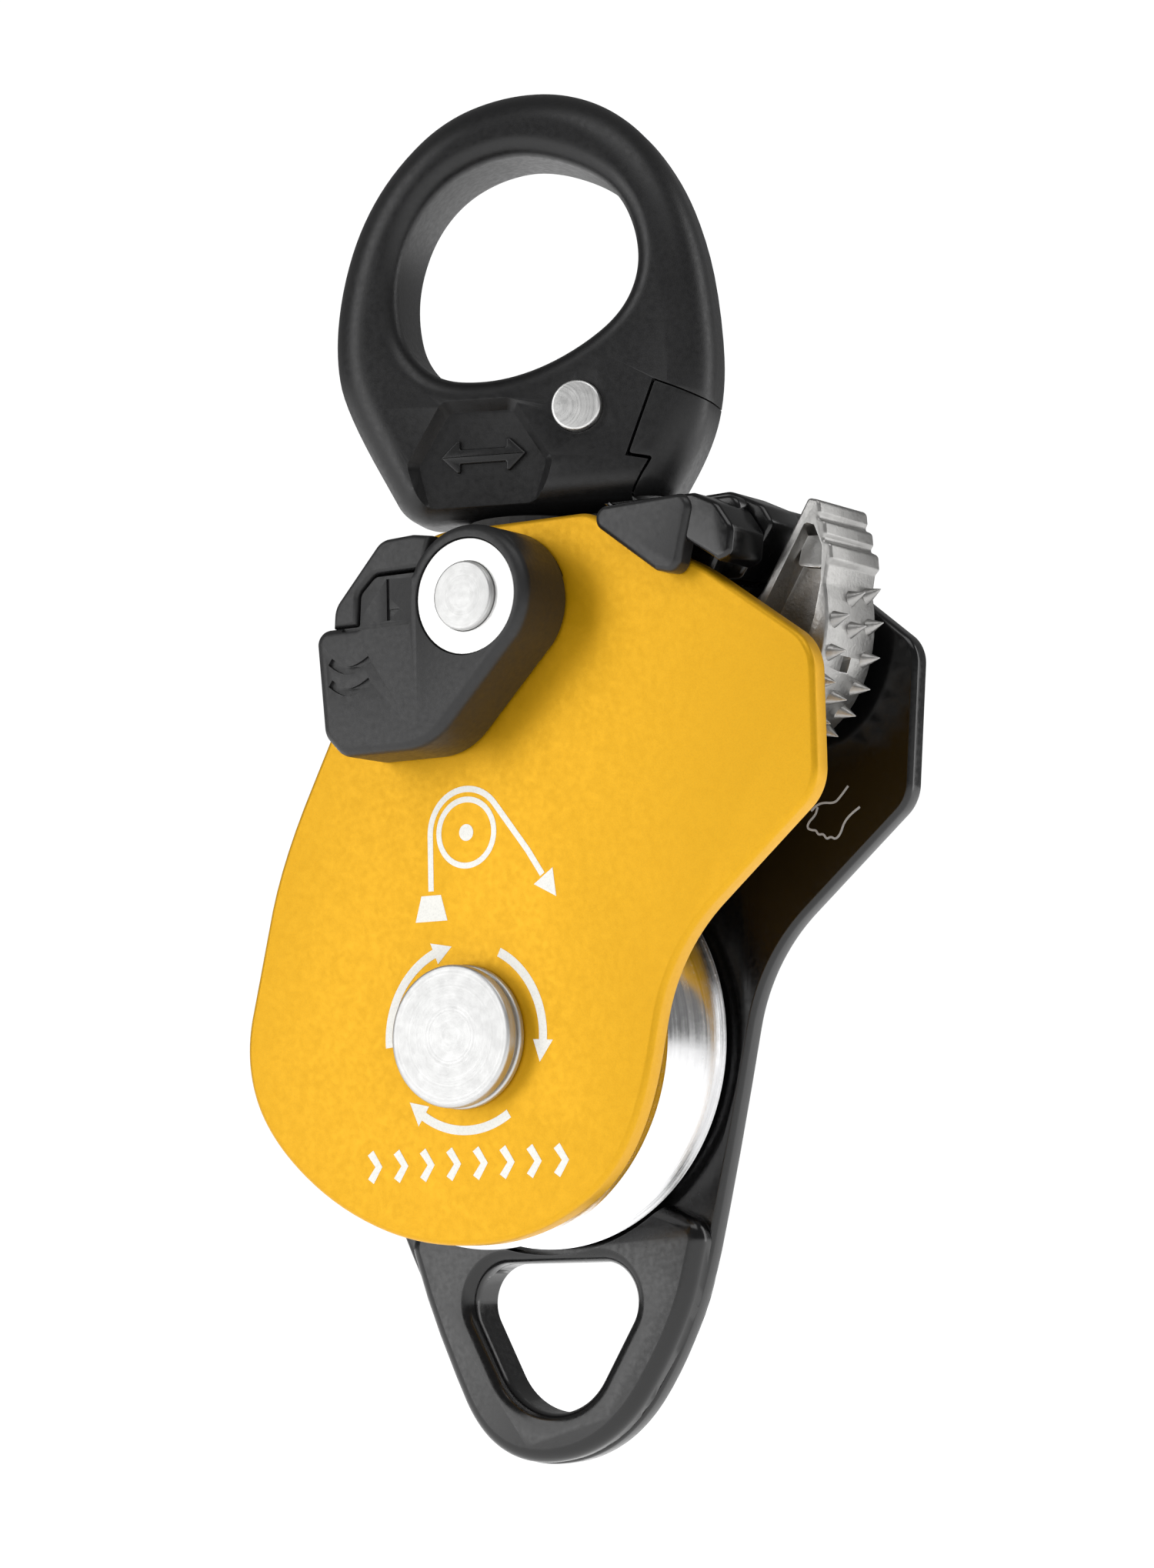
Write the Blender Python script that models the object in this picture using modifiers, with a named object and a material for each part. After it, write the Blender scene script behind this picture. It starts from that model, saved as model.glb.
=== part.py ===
"""Swivel progress-capture pulley: a rope sheave between a fixed and an opening side plate,
a toothed cam that grips the rope, and a swivel ring on top.

Lengths below are millimetres in the body frame: X across the side plates, Y from the opening
plate (front, -Y) to the fixed plate (back, +Y), Z up, zero on the sheave axle.
The scene is in metres with its origin at the centre of the ring's hole, on the swivel axis.
"""
import math

import bmesh
import bpy
from mathutils import Matrix, Vector

for old in list(bpy.data.objects):
    bpy.data.objects.remove(old, do_unlink=True)

MM = 0.001
GAP = 0.3                      # running clearance between touching pieces
FLOW = None                    # corner radius of a corner blended from edge to edge

# Overall layout
SWIVEL_X = 2.6                 # swivel axis, sideways from the sheave axle
RING_Z = 94.2                  # ring hole centre above the sheave axle
RING_TURN = math.radians(17.4)  # how far the ring is turned about the swivel axis at rest

# Side plates
PLATE = 3.0                    # thickness of both side plates
FRONT_FACE = -11.7             # outer face of the opening plate
BACK_FACE = 11.6               # outer face of the fixed plate
FRONT_IN = FRONT_FACE + PLATE
BACK_IN = BACK_FACE - PLATE

# Sheave and axle
TREAD_R = 19.0                 # rope tread radius
FLANGE_R = 25.0                # flange radius
SHEAVE_HALF = 7.6              # half width over the flanges
AXLE_R = 5.0
CAP_R = 8.45                   # visible cap of the axle
CAP_FRONT = -15.0
BEARING_R = 11.0               # bearing outer radius
BEARING_HALF = 3.5
BALL_R = 1.6
BALL_COUNT = 10

# Swivel ring
RING_T = 13.0                  # ring thickness
RING_ROUND = 3.4               # rounding of the ring rims
RING_BOTTOM = 62.9             # underside of the ring base
CHAMBER_R = 4.6                # chamber in the ring base for the swivel head
CHAMBER_LO = 65.2
CHAMBER_HI = 71.6
SPINDLE_R = 3.0
THRUST_BALL_R = 0.75
CROSS_PIN = (8.2, 75.6)        # cross pin in the ring base, ring frame
CROSS_PIN_R = 1.6
CROSS_HEAD_R = 3.1
TONGUE = 5.0                   # width of the lock lever's tongue
LOCK_WAY = (9.1, -3.7)         # the lock slides out along its top seam
LOCK_TRAVEL = 1.2

# Bridge between the plates and the hook over the opening plate
BRIDGE_TOP = 61.4
BRIDGE_LOW = 47.0
HOOK_T = 2.5
SWING_R = 64.8                 # the opening plate swings inside this radius about the axle

# Lower eye
EYE_FRONT = 5.9
CLEAR_R = FLANGE_R + 0.7       # round clearance cut in the fixed plate for the sheave

# Latch on the opening plate
LATCH = (7.0, 51.0)            # latch pivot
LATCH_PIN_R = 2.5
LATCH_HEAD_R = 4.1             # visible rivet head
LATCH_WASHER_R = 6.8
LATCH_BACK = FRONT_FACE - GAP
LATCH_FRONT = FRONT_FACE - 9.0
LATCH_R = 8.5                  # round end of the latch about its pivot
LATCH_TURN = 20.0              # release angle
CATCH = (12.6, 54.5)           # catch pin of the latch
CATCH_R = 1.5

# Cam
CAM = (29.5, 37.5)             # cam pivot
CAM_HALF = 5.7                 # half width of the cam
CAM_PIN_R = 2.6
CAM_BOSS_R = 5.6
TOOTH_LOW = 10.6               # spiral radius at the low end of the teeth
TOOTH_TOP = 22.4               # spiral radius at the high end
TOOTH_H = 2.0
TOOTH_R = 0.95
DETENT = (37.4, 46.4)          # sprung detent that holds the cam raised
DETENT_R = 1.4

solids = bpy.data.collections.new("progress_capture_pulley")
cutters = bpy.data.collections.new("cutters")
bpy.context.scene.collection.children.link(solids)
bpy.context.scene.collection.children.link(cutters)
cutters.hide_render = True


def material(name, colour, metallic, roughness):
    """A plain Principled material."""
    made = bpy.data.materials.new(name)
    made.use_nodes = True
    shader = made.node_tree.nodes["Principled BSDF"]
    shader.inputs["Base Color"].default_value = (*colour, 1.0)
    shader.inputs["Metallic"].default_value = metallic
    shader.inputs["Roughness"].default_value = roughness
    made.diffuse_color = (*colour, 1.0)
    return made


FORGED_GREY = material("forged_grey", (0.05, 0.05, 0.055), 0.6, 0.45)
GLOSS_BLACK = material("gloss_black", (0.012, 0.012, 0.014), 0.7, 0.25)
YELLOW = material("anodised_yellow", (0.80, 0.44, 0.02), 0.5, 0.4)
POLYMER = material("black_polymer", (0.04, 0.04, 0.042), 0.0, 0.5)
STEEL = material("stainless_steel", (0.62, 0.62, 0.61), 1.0, 0.3)
POLISHED = material("polished_aluminium", (0.85, 0.85, 0.86), 1.0, 0.2)
BEARING = material("bearing_steel", (0.55, 0.56, 0.58), 1.0, 0.2)
SPRING = material("spring_steel", (0.5, 0.5, 0.52), 1.0, 0.3)
SEAL = material("seal_rubber", (0.03, 0.03, 0.03), 0.0, 0.7)


# ---------------------------------------------------------------- drawing helpers

def fillet(corners, step=14.0):
    """Rounds a polygon of (x, z, radius) corners; step is the arc step in degrees.

    A corner with radius FLOW is blended from the middle of one edge to the middle of the next.
    """
    out = []
    n = len(corners)
    for i in range(n):
        corner = Vector(corners[i][:2])
        a = Vector(corners[i - 1][:2]) - corner
        b = Vector(corners[(i + 1) % n][:2]) - corner
        r = corners[i][2]
        half = a.angle(b) / 2.0
        if r is FLOW:
            count = max(2, round((180.0 - 2.0 * math.degrees(half)) / step))
            for k in range(count):
                t = (k + 0.5) / count
                out.append(tuple(corner + a * 0.5 * (1 - t) ** 2 + b * 0.5 * t ** 2))
            continue
        if r <= 0.0:
            out.append(tuple(corner))
            continue
        reach = min(r / math.tan(half), 0.49 * a.length, 0.49 * b.length)
        r = reach * math.tan(half)
        a.normalize()
        b.normalize()
        centre = corner + (a + b).normalized() * (r / math.sin(half))
        start = corner + a * reach - centre
        sweep = math.pi - 2.0 * half
        sign = 1.0 if a.x * b.y - a.y * b.x < 0 else -1.0
        count = max(1, round(math.degrees(sweep) / step))
        for k in range(count + 1):
            out.append(tuple(centre + Matrix.Rotation(sign * sweep * k / count, 2) @ start))
    return out


def arc(cx, cz, r, start, end, count, wide=1.0, high=1.0):
    """Points of a circular or elliptical arc, angles in degrees."""
    turn = [math.radians(start + (end - start) * k / count) for k in range(count + 1)]
    return [(cx + r * wide * math.cos(t), cz + r * high * math.sin(t)) for t in turn]


def evaluated(made):
    """The mesh of a curve or modified object as it looks, with the object removed."""
    bpy.context.scene.collection.objects.link(made)
    bpy.context.view_layer.update()
    graph = bpy.context.evaluated_depsgraph_get()
    mesh = bpy.data.meshes.new_from_object(made.evaluated_get(graph))
    bm = bmesh.new()
    bm.from_mesh(mesh)
    bmesh.ops.remove_doubles(bm, verts=bm.verts, dist=0.0005)
    bpy.data.objects.remove(made, do_unlink=True)
    bpy.data.meshes.remove(mesh)
    return bm


def flat(loops, y0, y1, front_r=0.0, back_r=0.0, steps=2):
    """A filled outline with holes, extruded from y0 to y1 and stood upright; its rims are
    rounded by front_r and back_r."""
    data = bpy.data.curves.new("outline", "CURVE")
    data.dimensions = "2D"
    data.fill_mode = "BOTH"
    data.extrude = (y1 - y0) / 2
    for loop in loops:
        spline = data.splines.new("POLY")
        spline.points.add(len(loop) - 1)
        for point, (x, z) in zip(spline.points, loop):
            point.co = (x, z, 0.0, 1.0)
        spline.use_cyclic_u = True
    bm = evaluated(bpy.data.objects.new("outline", data))
    stand = Matrix.Translation((0.0, (y0 + y1) / 2, 0.0)) @ Matrix.Rotation(math.pi / 2, 4, "X")
    bmesh.ops.transform(bm, matrix=stand, verts=bm.verts)
    if front_r or back_r:
        bmesh.ops.dissolve_limit(bm, angle_limit=0.001, verts=bm.verts, edges=bm.edges)
    for y, r in ((y0, front_r), (y1, back_r)):
        if not r:
            continue
        rim = [e for e in bm.edges if all(abs(v.co.y - y) < 0.01 for v in e.verts)
               and any(abs(f.normal.y) < 0.5 for f in e.link_faces)]
        bmesh.ops.bevel(bm, geom=rim, offset=r, offset_type="OFFSET", segments=steps,
                        profile=0.5, affect="EDGES", clamp_overlap=False)
    return bm


def wire(points, r, resolution=2):
    """A round wire through points with closed ends."""
    data = bpy.data.curves.new("wire", "CURVE")
    data.dimensions = "3D"
    data.bevel_depth = r
    data.bevel_resolution = resolution
    data.use_fill_caps = True
    spline = data.splines.new("POLY")
    spline.points.add(len(points) - 1)
    for point, place_at in zip(spline.points, points):
        point.co = (*place_at, 1.0)
    return evaluated(bpy.data.objects.new("wire", data))


def coil_y(cx, cz, r, y0, y1, turns, start, lead=(), tail=(), per_turn=12):
    """Points of a coil about a Y-parallel axis, with straight ends to lead and tail."""
    count = max(8, round(turns * per_turn))
    pts = []
    for k in range(count + 1):
        t = start + 2.0 * math.pi * turns * k / count
        y = y0 + (y1 - y0) * k / count
        pts.append((cx + r * math.cos(t), y, cz + r * math.sin(t)))
    first = [(lead[0], y0, lead[1])] if lead else []
    last = [(tail[0], y1, tail[1])] if tail else []
    return first + pts + last


def balls(centres, r):
    bm = bmesh.new()
    for c in centres:
        bmesh.ops.create_icosphere(bm, subdivisions=1, radius=r, matrix=Matrix.Translation(c))
    return bm


def drum(cx, cz, r, y0, y1, count=24):
    """A cylinder along Y."""
    bm = bmesh.new()
    spot = Matrix.Translation((cx, (y0 + y1) / 2, cz)) @ Matrix.Rotation(math.pi / 2, 4, "X")
    bmesh.ops.create_cone(bm, cap_ends=True, segments=count, radius1=r, radius2=r,
                          depth=y1 - y0, matrix=spot)
    return bm


def stand(made, at, base, ring):
    """Puts an object's origin at the point at, on its joint axis, and gives it its material.

    A ring piece is drawn across the ring's own width, zero on the swivel axis, and is turned
    with the ring. A piece without a material is a cutter.
    """
    if ring:
        spot = Matrix.Rotation(RING_TURN, 3, "Z") @ Vector((at[0], at[1], 0.0))
        made.location = Vector((spot.x, spot.y, at[2] - RING_Z)) * MM
        made.rotation_euler = (0.0, 0.0, RING_TURN)
    else:
        made.location = Vector((at[0] - SWIVEL_X, at[1], at[2] - RING_Z)) * MM
    if base is None:
        cutters.objects.link(made)
        made.hide_render = True
        made.display_type = "WIRE"
        return made
    solids.objects.link(made)
    skin = base.copy()
    skin.name = made.name + "_" + base.name
    made.data.materials.append(skin)
    made.data.shade_smooth()
    made.data.set_sharp_from_angle(angle=math.radians(35.0))
    return made


def place(name, bm, at=(0.0, 0.0, 0.0), base=None, ring=False):
    """Turns a drawing in body-frame millimetres into an object with its origin at the point at."""
    shift = Matrix.Scale(MM, 4) @ Matrix.Translation(-Vector(at))
    bmesh.ops.transform(bm, matrix=shift, verts=bm.verts)
    bmesh.ops.recalc_face_normals(bm, faces=bm.faces)
    mesh = bpy.data.meshes.new(name)
    bm.to_mesh(mesh)
    bm.free()
    return stand(bpy.data.objects.new(name, mesh), at, base, ring)


def lathe(name, profile, at=(0.0, 0.0, 0.0), base=None, ring=False, axis="Y", count=32):
    """Turns a (radius, height) profile about the axis through the point at; a profile that
    starts off the axis is a closed ring section."""
    closed = profile[0][0] > 0.0
    area = sum(a[0] * b[1] - b[0] * a[1] for a, b in zip(profile, profile[1:] + profile[:1]))
    run = profile[::-1] if area > 0 else profile
    base_height = at[1] if axis == "Y" else at[2]
    if axis == "Y":
        points = [(r * MM, (h - base_height) * MM, 0.0) for r, h in run]
    else:
        points = [(r * MM, 0.0, (h - base_height) * MM) for r, h in run]
    edges = [(i, i + 1) for i in range(len(run) - 1)]
    if closed:
        edges.append((len(run) - 1, 0))
    mesh = bpy.data.meshes.new(name)
    mesh.from_pydata(points, edges, [])
    made = stand(bpy.data.objects.new(name, mesh), at, base, ring)
    turn = made.modifiers.new("turn", "SCREW")
    turn.axis = axis
    turn.steps = count
    turn.render_steps = count
    turn.use_merge_vertices = True
    turn.merge_threshold = 0.00001
    return made


def combine(target, tool, how):
    step = target.modifiers.new(how.lower() + "_" + tool.name, "BOOLEAN")
    step.operation = how
    step.solver = "EXACT"
    step.object = tool


def cut(target, *tools):
    for tool in tools:
        combine(target, tool, "DIFFERENCE")


def add(target, *tools):
    for tool in tools:
        combine(target, tool, "UNION")


def prism(name, corners, y0, y1, ring=False, step=20.0):
    return place(name, flat([fillet(corners, step)], y0, y1), ring=ring)


def rod(name, cx, cz, r, y0, y1, ring=False, count=24):
    return place(name, drum(cx, cz, r, y0, y1, count), ring=ring)


# ---------------------------------------------------------------- swivel ring group

half = RING_T / 2
ring_outline = fillet([(-14.4, RING_BOTTOM, 4.6), (17.9, RING_BOTTOM, 4.6)] + [(x, z, FLOW) for x, z in (
    (23.0, 71.4), (24.6, 78.6), (24.3, 87.0), (23.0, 95.6), (19.9, 104.2), (14.6, 111.4), (7.4, 115.4),
    (-1.0, 115.9), (-9.2, 113.4), (-15.8, 107.6), (-20.2, 100.8), (-22.8, 92.8), (-23.7, 84.6),
    (-22.4, 77.6))], 8.0)
ring_hole = fillet([(x, z, FLOW) for x, z in (
    (2.2, 107.7), (8.9, 105.4), (13.3, 102.0), (15.5, 97.0), (15.7, 91.8), (13.4, 87.1), (8.6, 83.5),
    (2.6, 80.8), (-3.6, 79.7), (-9.8, 80.4), (-13.8, 84.2), (-15.0, 89.6), (-14.6, 95.0), (-12.4, 100.6),
    (-8.6, 104.8), (-3.4, 107.2))], 8.0)
ring = place("swivel_ring", flat([ring_outline, ring_hole], -half, half, RING_ROUND, RING_ROUND, 3),
             (0.0, 0.0, RING_Z), FORGED_GREY, ring=True)

panel = prism("ring_panel_recess", [
    (-13.6, 69.6, 1.0), (-9.4, 77.2, 1.0), (0.6, 77.2, 1.0), (5.6, 69.4, 1.0), (3.4, 64.9, 1.0),
    (-10.8, 64.9, 1.0)], -half - 1.0, -half + 0.9, ring=True)
chamber = lathe("swivel_chamber", [
    (0.0, RING_BOTTOM - 1.0), (SPINDLE_R + GAP, RING_BOTTOM - 1.0), (SPINDLE_R + GAP, CHAMBER_LO),
    (CHAMBER_R, CHAMBER_LO), (CHAMBER_R, CHAMBER_HI), (0.0, CHAMBER_HI)], ring=True, axis="Z", count=24)
lever_cut = prism("lock_lever_room", [
    (14.4, 60.0, 0.0), (14.4, 64.8, 0.0), (16.8, 68.6, 0.0), (14.0, 69.2, 0.0), (17.6, 78.4, 0.0),
    (27.5, 74.2, 0.0), (27.5, 60.0, 0.0)], -half - 1.0, half + 1.0, ring=True)
tongue_room = prism("lock_tongue_room", [
    (CROSS_PIN[0] - 5.2, CROSS_PIN[1] - 3.3, 1.0), (CROSS_PIN[0] - 5.2, CROSS_PIN[1] + 3.2, 1.0),
    (19.0, 78.4, 0.0), (19.0, 66.8, 0.0)], -TONGUE / 2 - GAP, TONGUE / 2 + GAP, ring=True)
pin_hole = rod("cross_pin_hole", *CROSS_PIN, CROSS_PIN_R + 0.02, -half - 1.0, half + 1.0, True, 24)
head_hole = rod("cross_head_seat", *CROSS_PIN, CROSS_HEAD_R + 0.02, -half - 1.0, -half + 1.4, True)
tail_hole = rod("cross_tail_seat", *CROSS_PIN, CROSS_HEAD_R + 0.02, half - 1.4, half + 1.0, True)
cut(ring, panel, chamber, lever_cut, tongue_room, pin_hole, head_hole, tail_hole)

lathe("ring_cross_pin", [
    (0.0, -half - 0.5), (CROSS_HEAD_R - 0.6, -half - 0.5), (CROSS_HEAD_R - 0.02, -half + 0.1),
    (CROSS_HEAD_R - 0.02, -half + 1.38), (CROSS_PIN_R, -half + 1.38), (CROSS_PIN_R, half - 1.38),
    (CROSS_HEAD_R - 0.02, half - 1.38), (CROSS_HEAD_R - 0.02, half - 0.1),
    (CROSS_HEAD_R - 0.6, half + 0.5), (0.0, half + 0.5)],
    (CROSS_PIN[0], 0.0, CROSS_PIN[1]), STEEL, ring=True, count=24)

lever = place("ring_lock_lever", flat([[
    (14.4 + GAP, RING_BOTTOM + 1.7), (14.4 + GAP, 64.7), (17.6, 68.9), (14.6, 69.5), (17.9, 78.0),
    (27.0, 74.3), (27.0, RING_BOTTOM + 1.7)]], -10.0, 10.0),
    (CROSS_PIN[0], 0.0, CROSS_PIN[1]), FORGED_GREY, ring=True)
ring_blank = flat([ring_outline, ring_hole], -half, half, RING_ROUND, RING_ROUND, 3)
combine(lever, place("ring_blank", ring_blank, ring=True), "INTERSECT")
tongue = prism("lock_tongue", [
    (CROSS_PIN[0] - 4.8, CROSS_PIN[1] - 1.6, 1.0), (CROSS_PIN[0] - 4.8, CROSS_PIN[1] + 2.8, 1.0),
    (19.0, 77.0, 0.0), (19.0, 68.8, 0.0)], -TONGUE / 2, TONGUE / 2, ring=True)
seam = Vector(LOCK_WAY).normalized() * LOCK_TRAVEL
way = CROSS_PIN_R + GAP
tongue_hole = prism("lock_tongue_hole", [
    (CROSS_PIN[0] - seam.x - way, CROSS_PIN[1] - seam.y - way, 1.2),
    (CROSS_PIN[0] - seam.x - way, CROSS_PIN[1] - seam.y + way, 1.2),
    (CROSS_PIN[0] + way, CROSS_PIN[1] + way, 1.2), (CROSS_PIN[0] + way, CROSS_PIN[1] - way, 1.2)],
    -half, half, ring=True)
add(lever, tongue)
cut(lever, tongue_hole)

# ---------------------------------------------------------------- swivel bearing

SWIVEL = (SWIVEL_X, 0.0, RING_Z)
IN_RING = (0.0, 0.0, RING_Z)
lathe("swivel_spindle", [
    (0.0, BRIDGE_LOW - 2.2), (SPINDLE_R - 0.6, BRIDGE_LOW - 2.2), (SPINDLE_R, BRIDGE_LOW - 1.6),
    (SPINDLE_R, 68.4), (CHAMBER_R - 0.5, 68.4), (CHAMBER_R - 0.5, CHAMBER_HI - GAP),
    (0.0, CHAMBER_HI - GAP)], SWIVEL, STEEL, axis="Z", count=24)
hexagon = bmesh.new()
bmesh.ops.create_cone(hexagon, cap_ends=True, segments=6, radius1=5.2, radius2=5.2, depth=2.4,
                      matrix=Matrix.Translation((SWIVEL_X, 0.0, BRIDGE_LOW - 1.3)))
nut = place("swivel_nut", hexagon, SWIVEL, STEEL)
cut(nut, lathe("nut_bore", [
    (0.0, BRIDGE_LOW - 4.0), (SPINDLE_R + 0.02, BRIDGE_LOW - 4.0), (SPINDLE_R + 0.02, BRIDGE_LOW + 1.0),
    (0.0, BRIDGE_LOW + 1.0)], SWIVEL, axis="Z", count=24))
lathe("thrust_washer_lower", [
    (SPINDLE_R + GAP, CHAMBER_LO + 0.02), (CHAMBER_R - GAP, CHAMBER_LO + 0.02),
    (CHAMBER_R - GAP, CHAMBER_LO + 0.7), (SPINDLE_R + GAP, CHAMBER_LO + 0.7)],
    IN_RING, BEARING, ring=True, axis="Z", count=24)
lathe("thrust_washer_upper", [
    (SPINDLE_R + 0.02, 67.5), (CHAMBER_R - GAP, 67.5), (CHAMBER_R - GAP, 68.35),
    (SPINDLE_R + 0.02, 68.35)], SWIVEL, BEARING, axis="Z", count=24)
ball_ring = (SPINDLE_R + CHAMBER_R) / 2 + 0.02
ball_z = (CHAMBER_LO + 0.7 + 67.5) / 2
thrust = lathe("thrust_ball_cage", [
    (SPINDLE_R + GAP, ball_z - 0.2), (CHAMBER_R - GAP, ball_z - 0.2),
    (CHAMBER_R - GAP, ball_z + 0.2), (SPINDLE_R + GAP, ball_z + 0.2)],
    IN_RING, BEARING, ring=True, axis="Z", count=24)
add(thrust, place("thrust_balls", balls([
    (ball_ring * math.cos(math.tau * k / 10), ball_ring * math.sin(math.tau * k / 10), ball_z)
    for k in range(10)], THRUST_BALL_R), IN_RING, ring=True))
lathe("swivel_seal", [
    (SPINDLE_R + GAP, BRIDGE_TOP + 0.1), (7.4, BRIDGE_TOP + 0.1), (7.4, RING_BOTTOM - GAP),
    (SPINDLE_R + GAP, RING_BOTTOM - GAP)], SWIVEL, SEAL, axis="Z", count=24)

# ---------------------------------------------------------------- fixed side plate

EYE_SIDE = [(24.0, -14.0, FLOW), (18.6, -35.0, FLOW), (7.6, -50.2, FLOW), (-9.8, -51.4, FLOW),
            (-18.0, -35.0, FLOW), (-25.0, -20.5, FLOW)]
fixed_outline = fillet([
    (-9.0, 60.9, 7.0), (31.0, 60.9, 4.0), (51.0, 44.4, 4.2), (49.5, 26.0, 5.0), (29.0, 8.6, 24.0)]
    + EYE_SIDE + [(-31.5, -5.0, 12.0), (-24.6, 28.0, 20.0)], 9.0)
fixed = place("fixed_side_plate", flat([fixed_outline], BACK_IN, BACK_FACE, 0.8, 0.6, 1),
              (0.0, 0.0, 0.0), GLOSS_BLACK)
eye_body = place("eye_body", flat([fillet([
    (23.6, -17.0, 2.0)] + [(x * 0.985, z * 0.995, r) for x, z, r in EYE_SIDE[1:5]] + [
    (-24.6, -20.6, 2.0), (0.0, -14.0, 0.0)], 9.0)], EYE_FRONT, BACK_FACE - 0.3, 1.4, 0.0, 2))
bridge = prism("bridge", [
    (-7.0, BRIDGE_TOP, 2.0), (30.0, BRIDGE_TOP, 0.0), (38.4, BRIDGE_TOP, 1.5), (32.6, 51.2, 2.0),
    (24.0, BRIDGE_LOW, 3.0), (-7.0, BRIDGE_LOW, 3.0)], FRONT_IN + GAP, BACK_IN + 1.0)
arm_edge = [(SWING_R * math.cos(math.radians(a)), SWING_R * math.sin(math.radians(a)), 0.0)
            for a in (69.5, 66.0, 62.5, 59.0, 56.5, 54.6)]
hook_arm = prism("hook_arm", [(22.0, BRIDGE_TOP - 0.1, 0.0)] + arm_edge + [
    (39.2, 53.4, 0.8), (39.6, 56.6, 1.6), (37.6, 59.6, 2.0), (34.4, 61.1, 1.2)],
    FRONT_FACE - GAP - HOOK_T + 0.6, FRONT_IN + 2.0)
shoulder = prism("bridge_shoulder", [
    (30.6, 62.2, 1.0), (34.8, 62.3, 2.4), (39.2, 60.2, 1.8), (40.6, 57.8, 1.0), (36.0, 51.8, 0.8),
    (30.0, 52.0, 0.0)], -6.2, 1.6)
hook_face = place("hook_face", flat([fillet([
    (18.4, 60.9, 1.4), (34.6, 61.3, 1.6), (32.2, 51.9, 1.8), (29.4, 52.5, 1.0)], 20.0)],
    FRONT_FACE - GAP - HOOK_T, FRONT_FACE - GAP, 0.6, 0.0, 1))
sheave_room = rod("sheave_room", 0.0, 0.0, CLEAR_R, 0.0, BACK_IN + 0.1, count=64)
eye_hole = prism("eye_hole", [
    (-14.8, -26.6, 4.8), (15.4, -26.6, 4.8), (-1.1, -53.2, 9.0)], 0.0, 15.0, step=12.0)
spindle_bore = lathe("spindle_bore", [
    (0.0, 40.0), (SPINDLE_R + 0.02, 40.0), (SPINDLE_R + 0.02, 70.0), (0.0, 70.0)],
    SWIVEL, axis="Z", count=24)
axle_bore = rod("axle_bore", 0.0, 0.0, AXLE_R + 0.02, 0.0, 16.0, count=32)
cam_bore = rod("cam_pin_bore", *CAM, CAM_PIN_R + 0.02, 0.0, 16.0)
detent_bore = rod("detent_bore", *DETENT, DETENT_R + 1.62, 0.0, 16.0, count=20)
catch_low = math.hypot(*CATCH) - CATCH_R - 0.5
catch_channel = prism("catch_channel", [
    (CATCH[0] + 2.2, CATCH[1] - 2.6, 0.8), (CATCH[0] + 2.2, 64.0, 0.0), (-12.0, 64.0, 0.0)] + [
    (catch_low * math.cos(math.radians(a)), catch_low * math.sin(math.radians(a)), 0.0)
    for a in (102.0, 96.0, 90.0, 84.0, 78.0)], FRONT_IN - 1.0, FRONT_IN + 3.8)
add(fixed, eye_body, bridge, shoulder, hook_arm, hook_face)
cut(fixed, sheave_room, eye_hole, spindle_bore, axle_bore, cam_bore, detent_bore, catch_channel)

# ---------------------------------------------------------------- axle, bearing, sheave

AXIS = (0.0, 0.0, 0.0)
lathe("sheave_axle", [
    (0.0, CAP_FRONT + 1.8), (AXLE_R - 0.4, CAP_FRONT + 1.8), (AXLE_R, CAP_FRONT + 2.2),
    (AXLE_R, BACK_FACE + 0.02), (7.6, BACK_FACE + 0.02), (7.6, BACK_FACE + 1.2),
    (6.8, BACK_FACE + 1.8), (0.0, BACK_FACE + 1.8)], AXIS, STEEL)
lathe("axle_cap", [
    (0.0, CAP_FRONT), (CAP_R - 0.6, CAP_FRONT), (CAP_R, CAP_FRONT + 0.5), (CAP_R, CAP_FRONT + 1.5),
    (CAP_R - 0.6, CAP_FRONT + 1.7), (CAP_R - 0.6, CAP_FRONT + 2.0), (CAP_R + 0.1, CAP_FRONT + 2.2),
    (CAP_R + 0.1, FRONT_FACE - 0.1), (AXLE_R + 0.03, FRONT_FACE - 0.1),
    (AXLE_R + 0.03, CAP_FRONT + 1.76), (0.0, CAP_FRONT + 1.76)], AXIS, STEEL, count=40)
race_in = AXLE_R + 0.02
for node, side in (("spacer_front", -1.0), ("spacer_rear", 1.0)):
    far = FRONT_IN + GAP if side < 0 else BACK_IN - 0.02
    lathe(node, [(race_in, side * (BEARING_HALF + 0.02)), (7.0, side * (BEARING_HALF + 0.02)),
                 (7.0, far), (race_in, far)], AXIS, STEEL)
lathe("bearing_inner_race", [
    (race_in, -BEARING_HALF), (7.0, -BEARING_HALF), (7.0, -1.0), (6.6, 0.0), (7.0, 1.0),
    (7.0, BEARING_HALF), (race_in, BEARING_HALF)], AXIS, BEARING)
lathe("bearing_outer_race", [
    (9.6, -BEARING_HALF), (BEARING_R - 0.02, -BEARING_HALF), (BEARING_R - 0.02, BEARING_HALF),
    (9.6, BEARING_HALF), (9.6, 1.0), (10.0, 0.0), (9.6, -1.0)], AXIS, BEARING, count=48)
ball_cage = lathe("bearing_ball_cage", [
    (7.8, -0.4), (8.8, -0.4), (8.8, 0.4), (7.8, 0.4)], AXIS, BEARING, count=40)
add(ball_cage, place("bearing_balls", balls([
    (8.3 * math.cos(math.tau * k / BALL_COUNT), 0.0, 8.3 * math.sin(math.tau * k / BALL_COUNT))
    for k in range(BALL_COUNT)], BALL_R)))
for node, side in (("bearing_seal_front", -1.0), ("bearing_seal_rear", 1.0)):
    lathe(node, [(7.0 + GAP, side * 2.5), (9.58, side * 2.5), (9.58, side * 3.2),
                 (7.0 + GAP, side * 3.2)], AXIS, SEAL)
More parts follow.
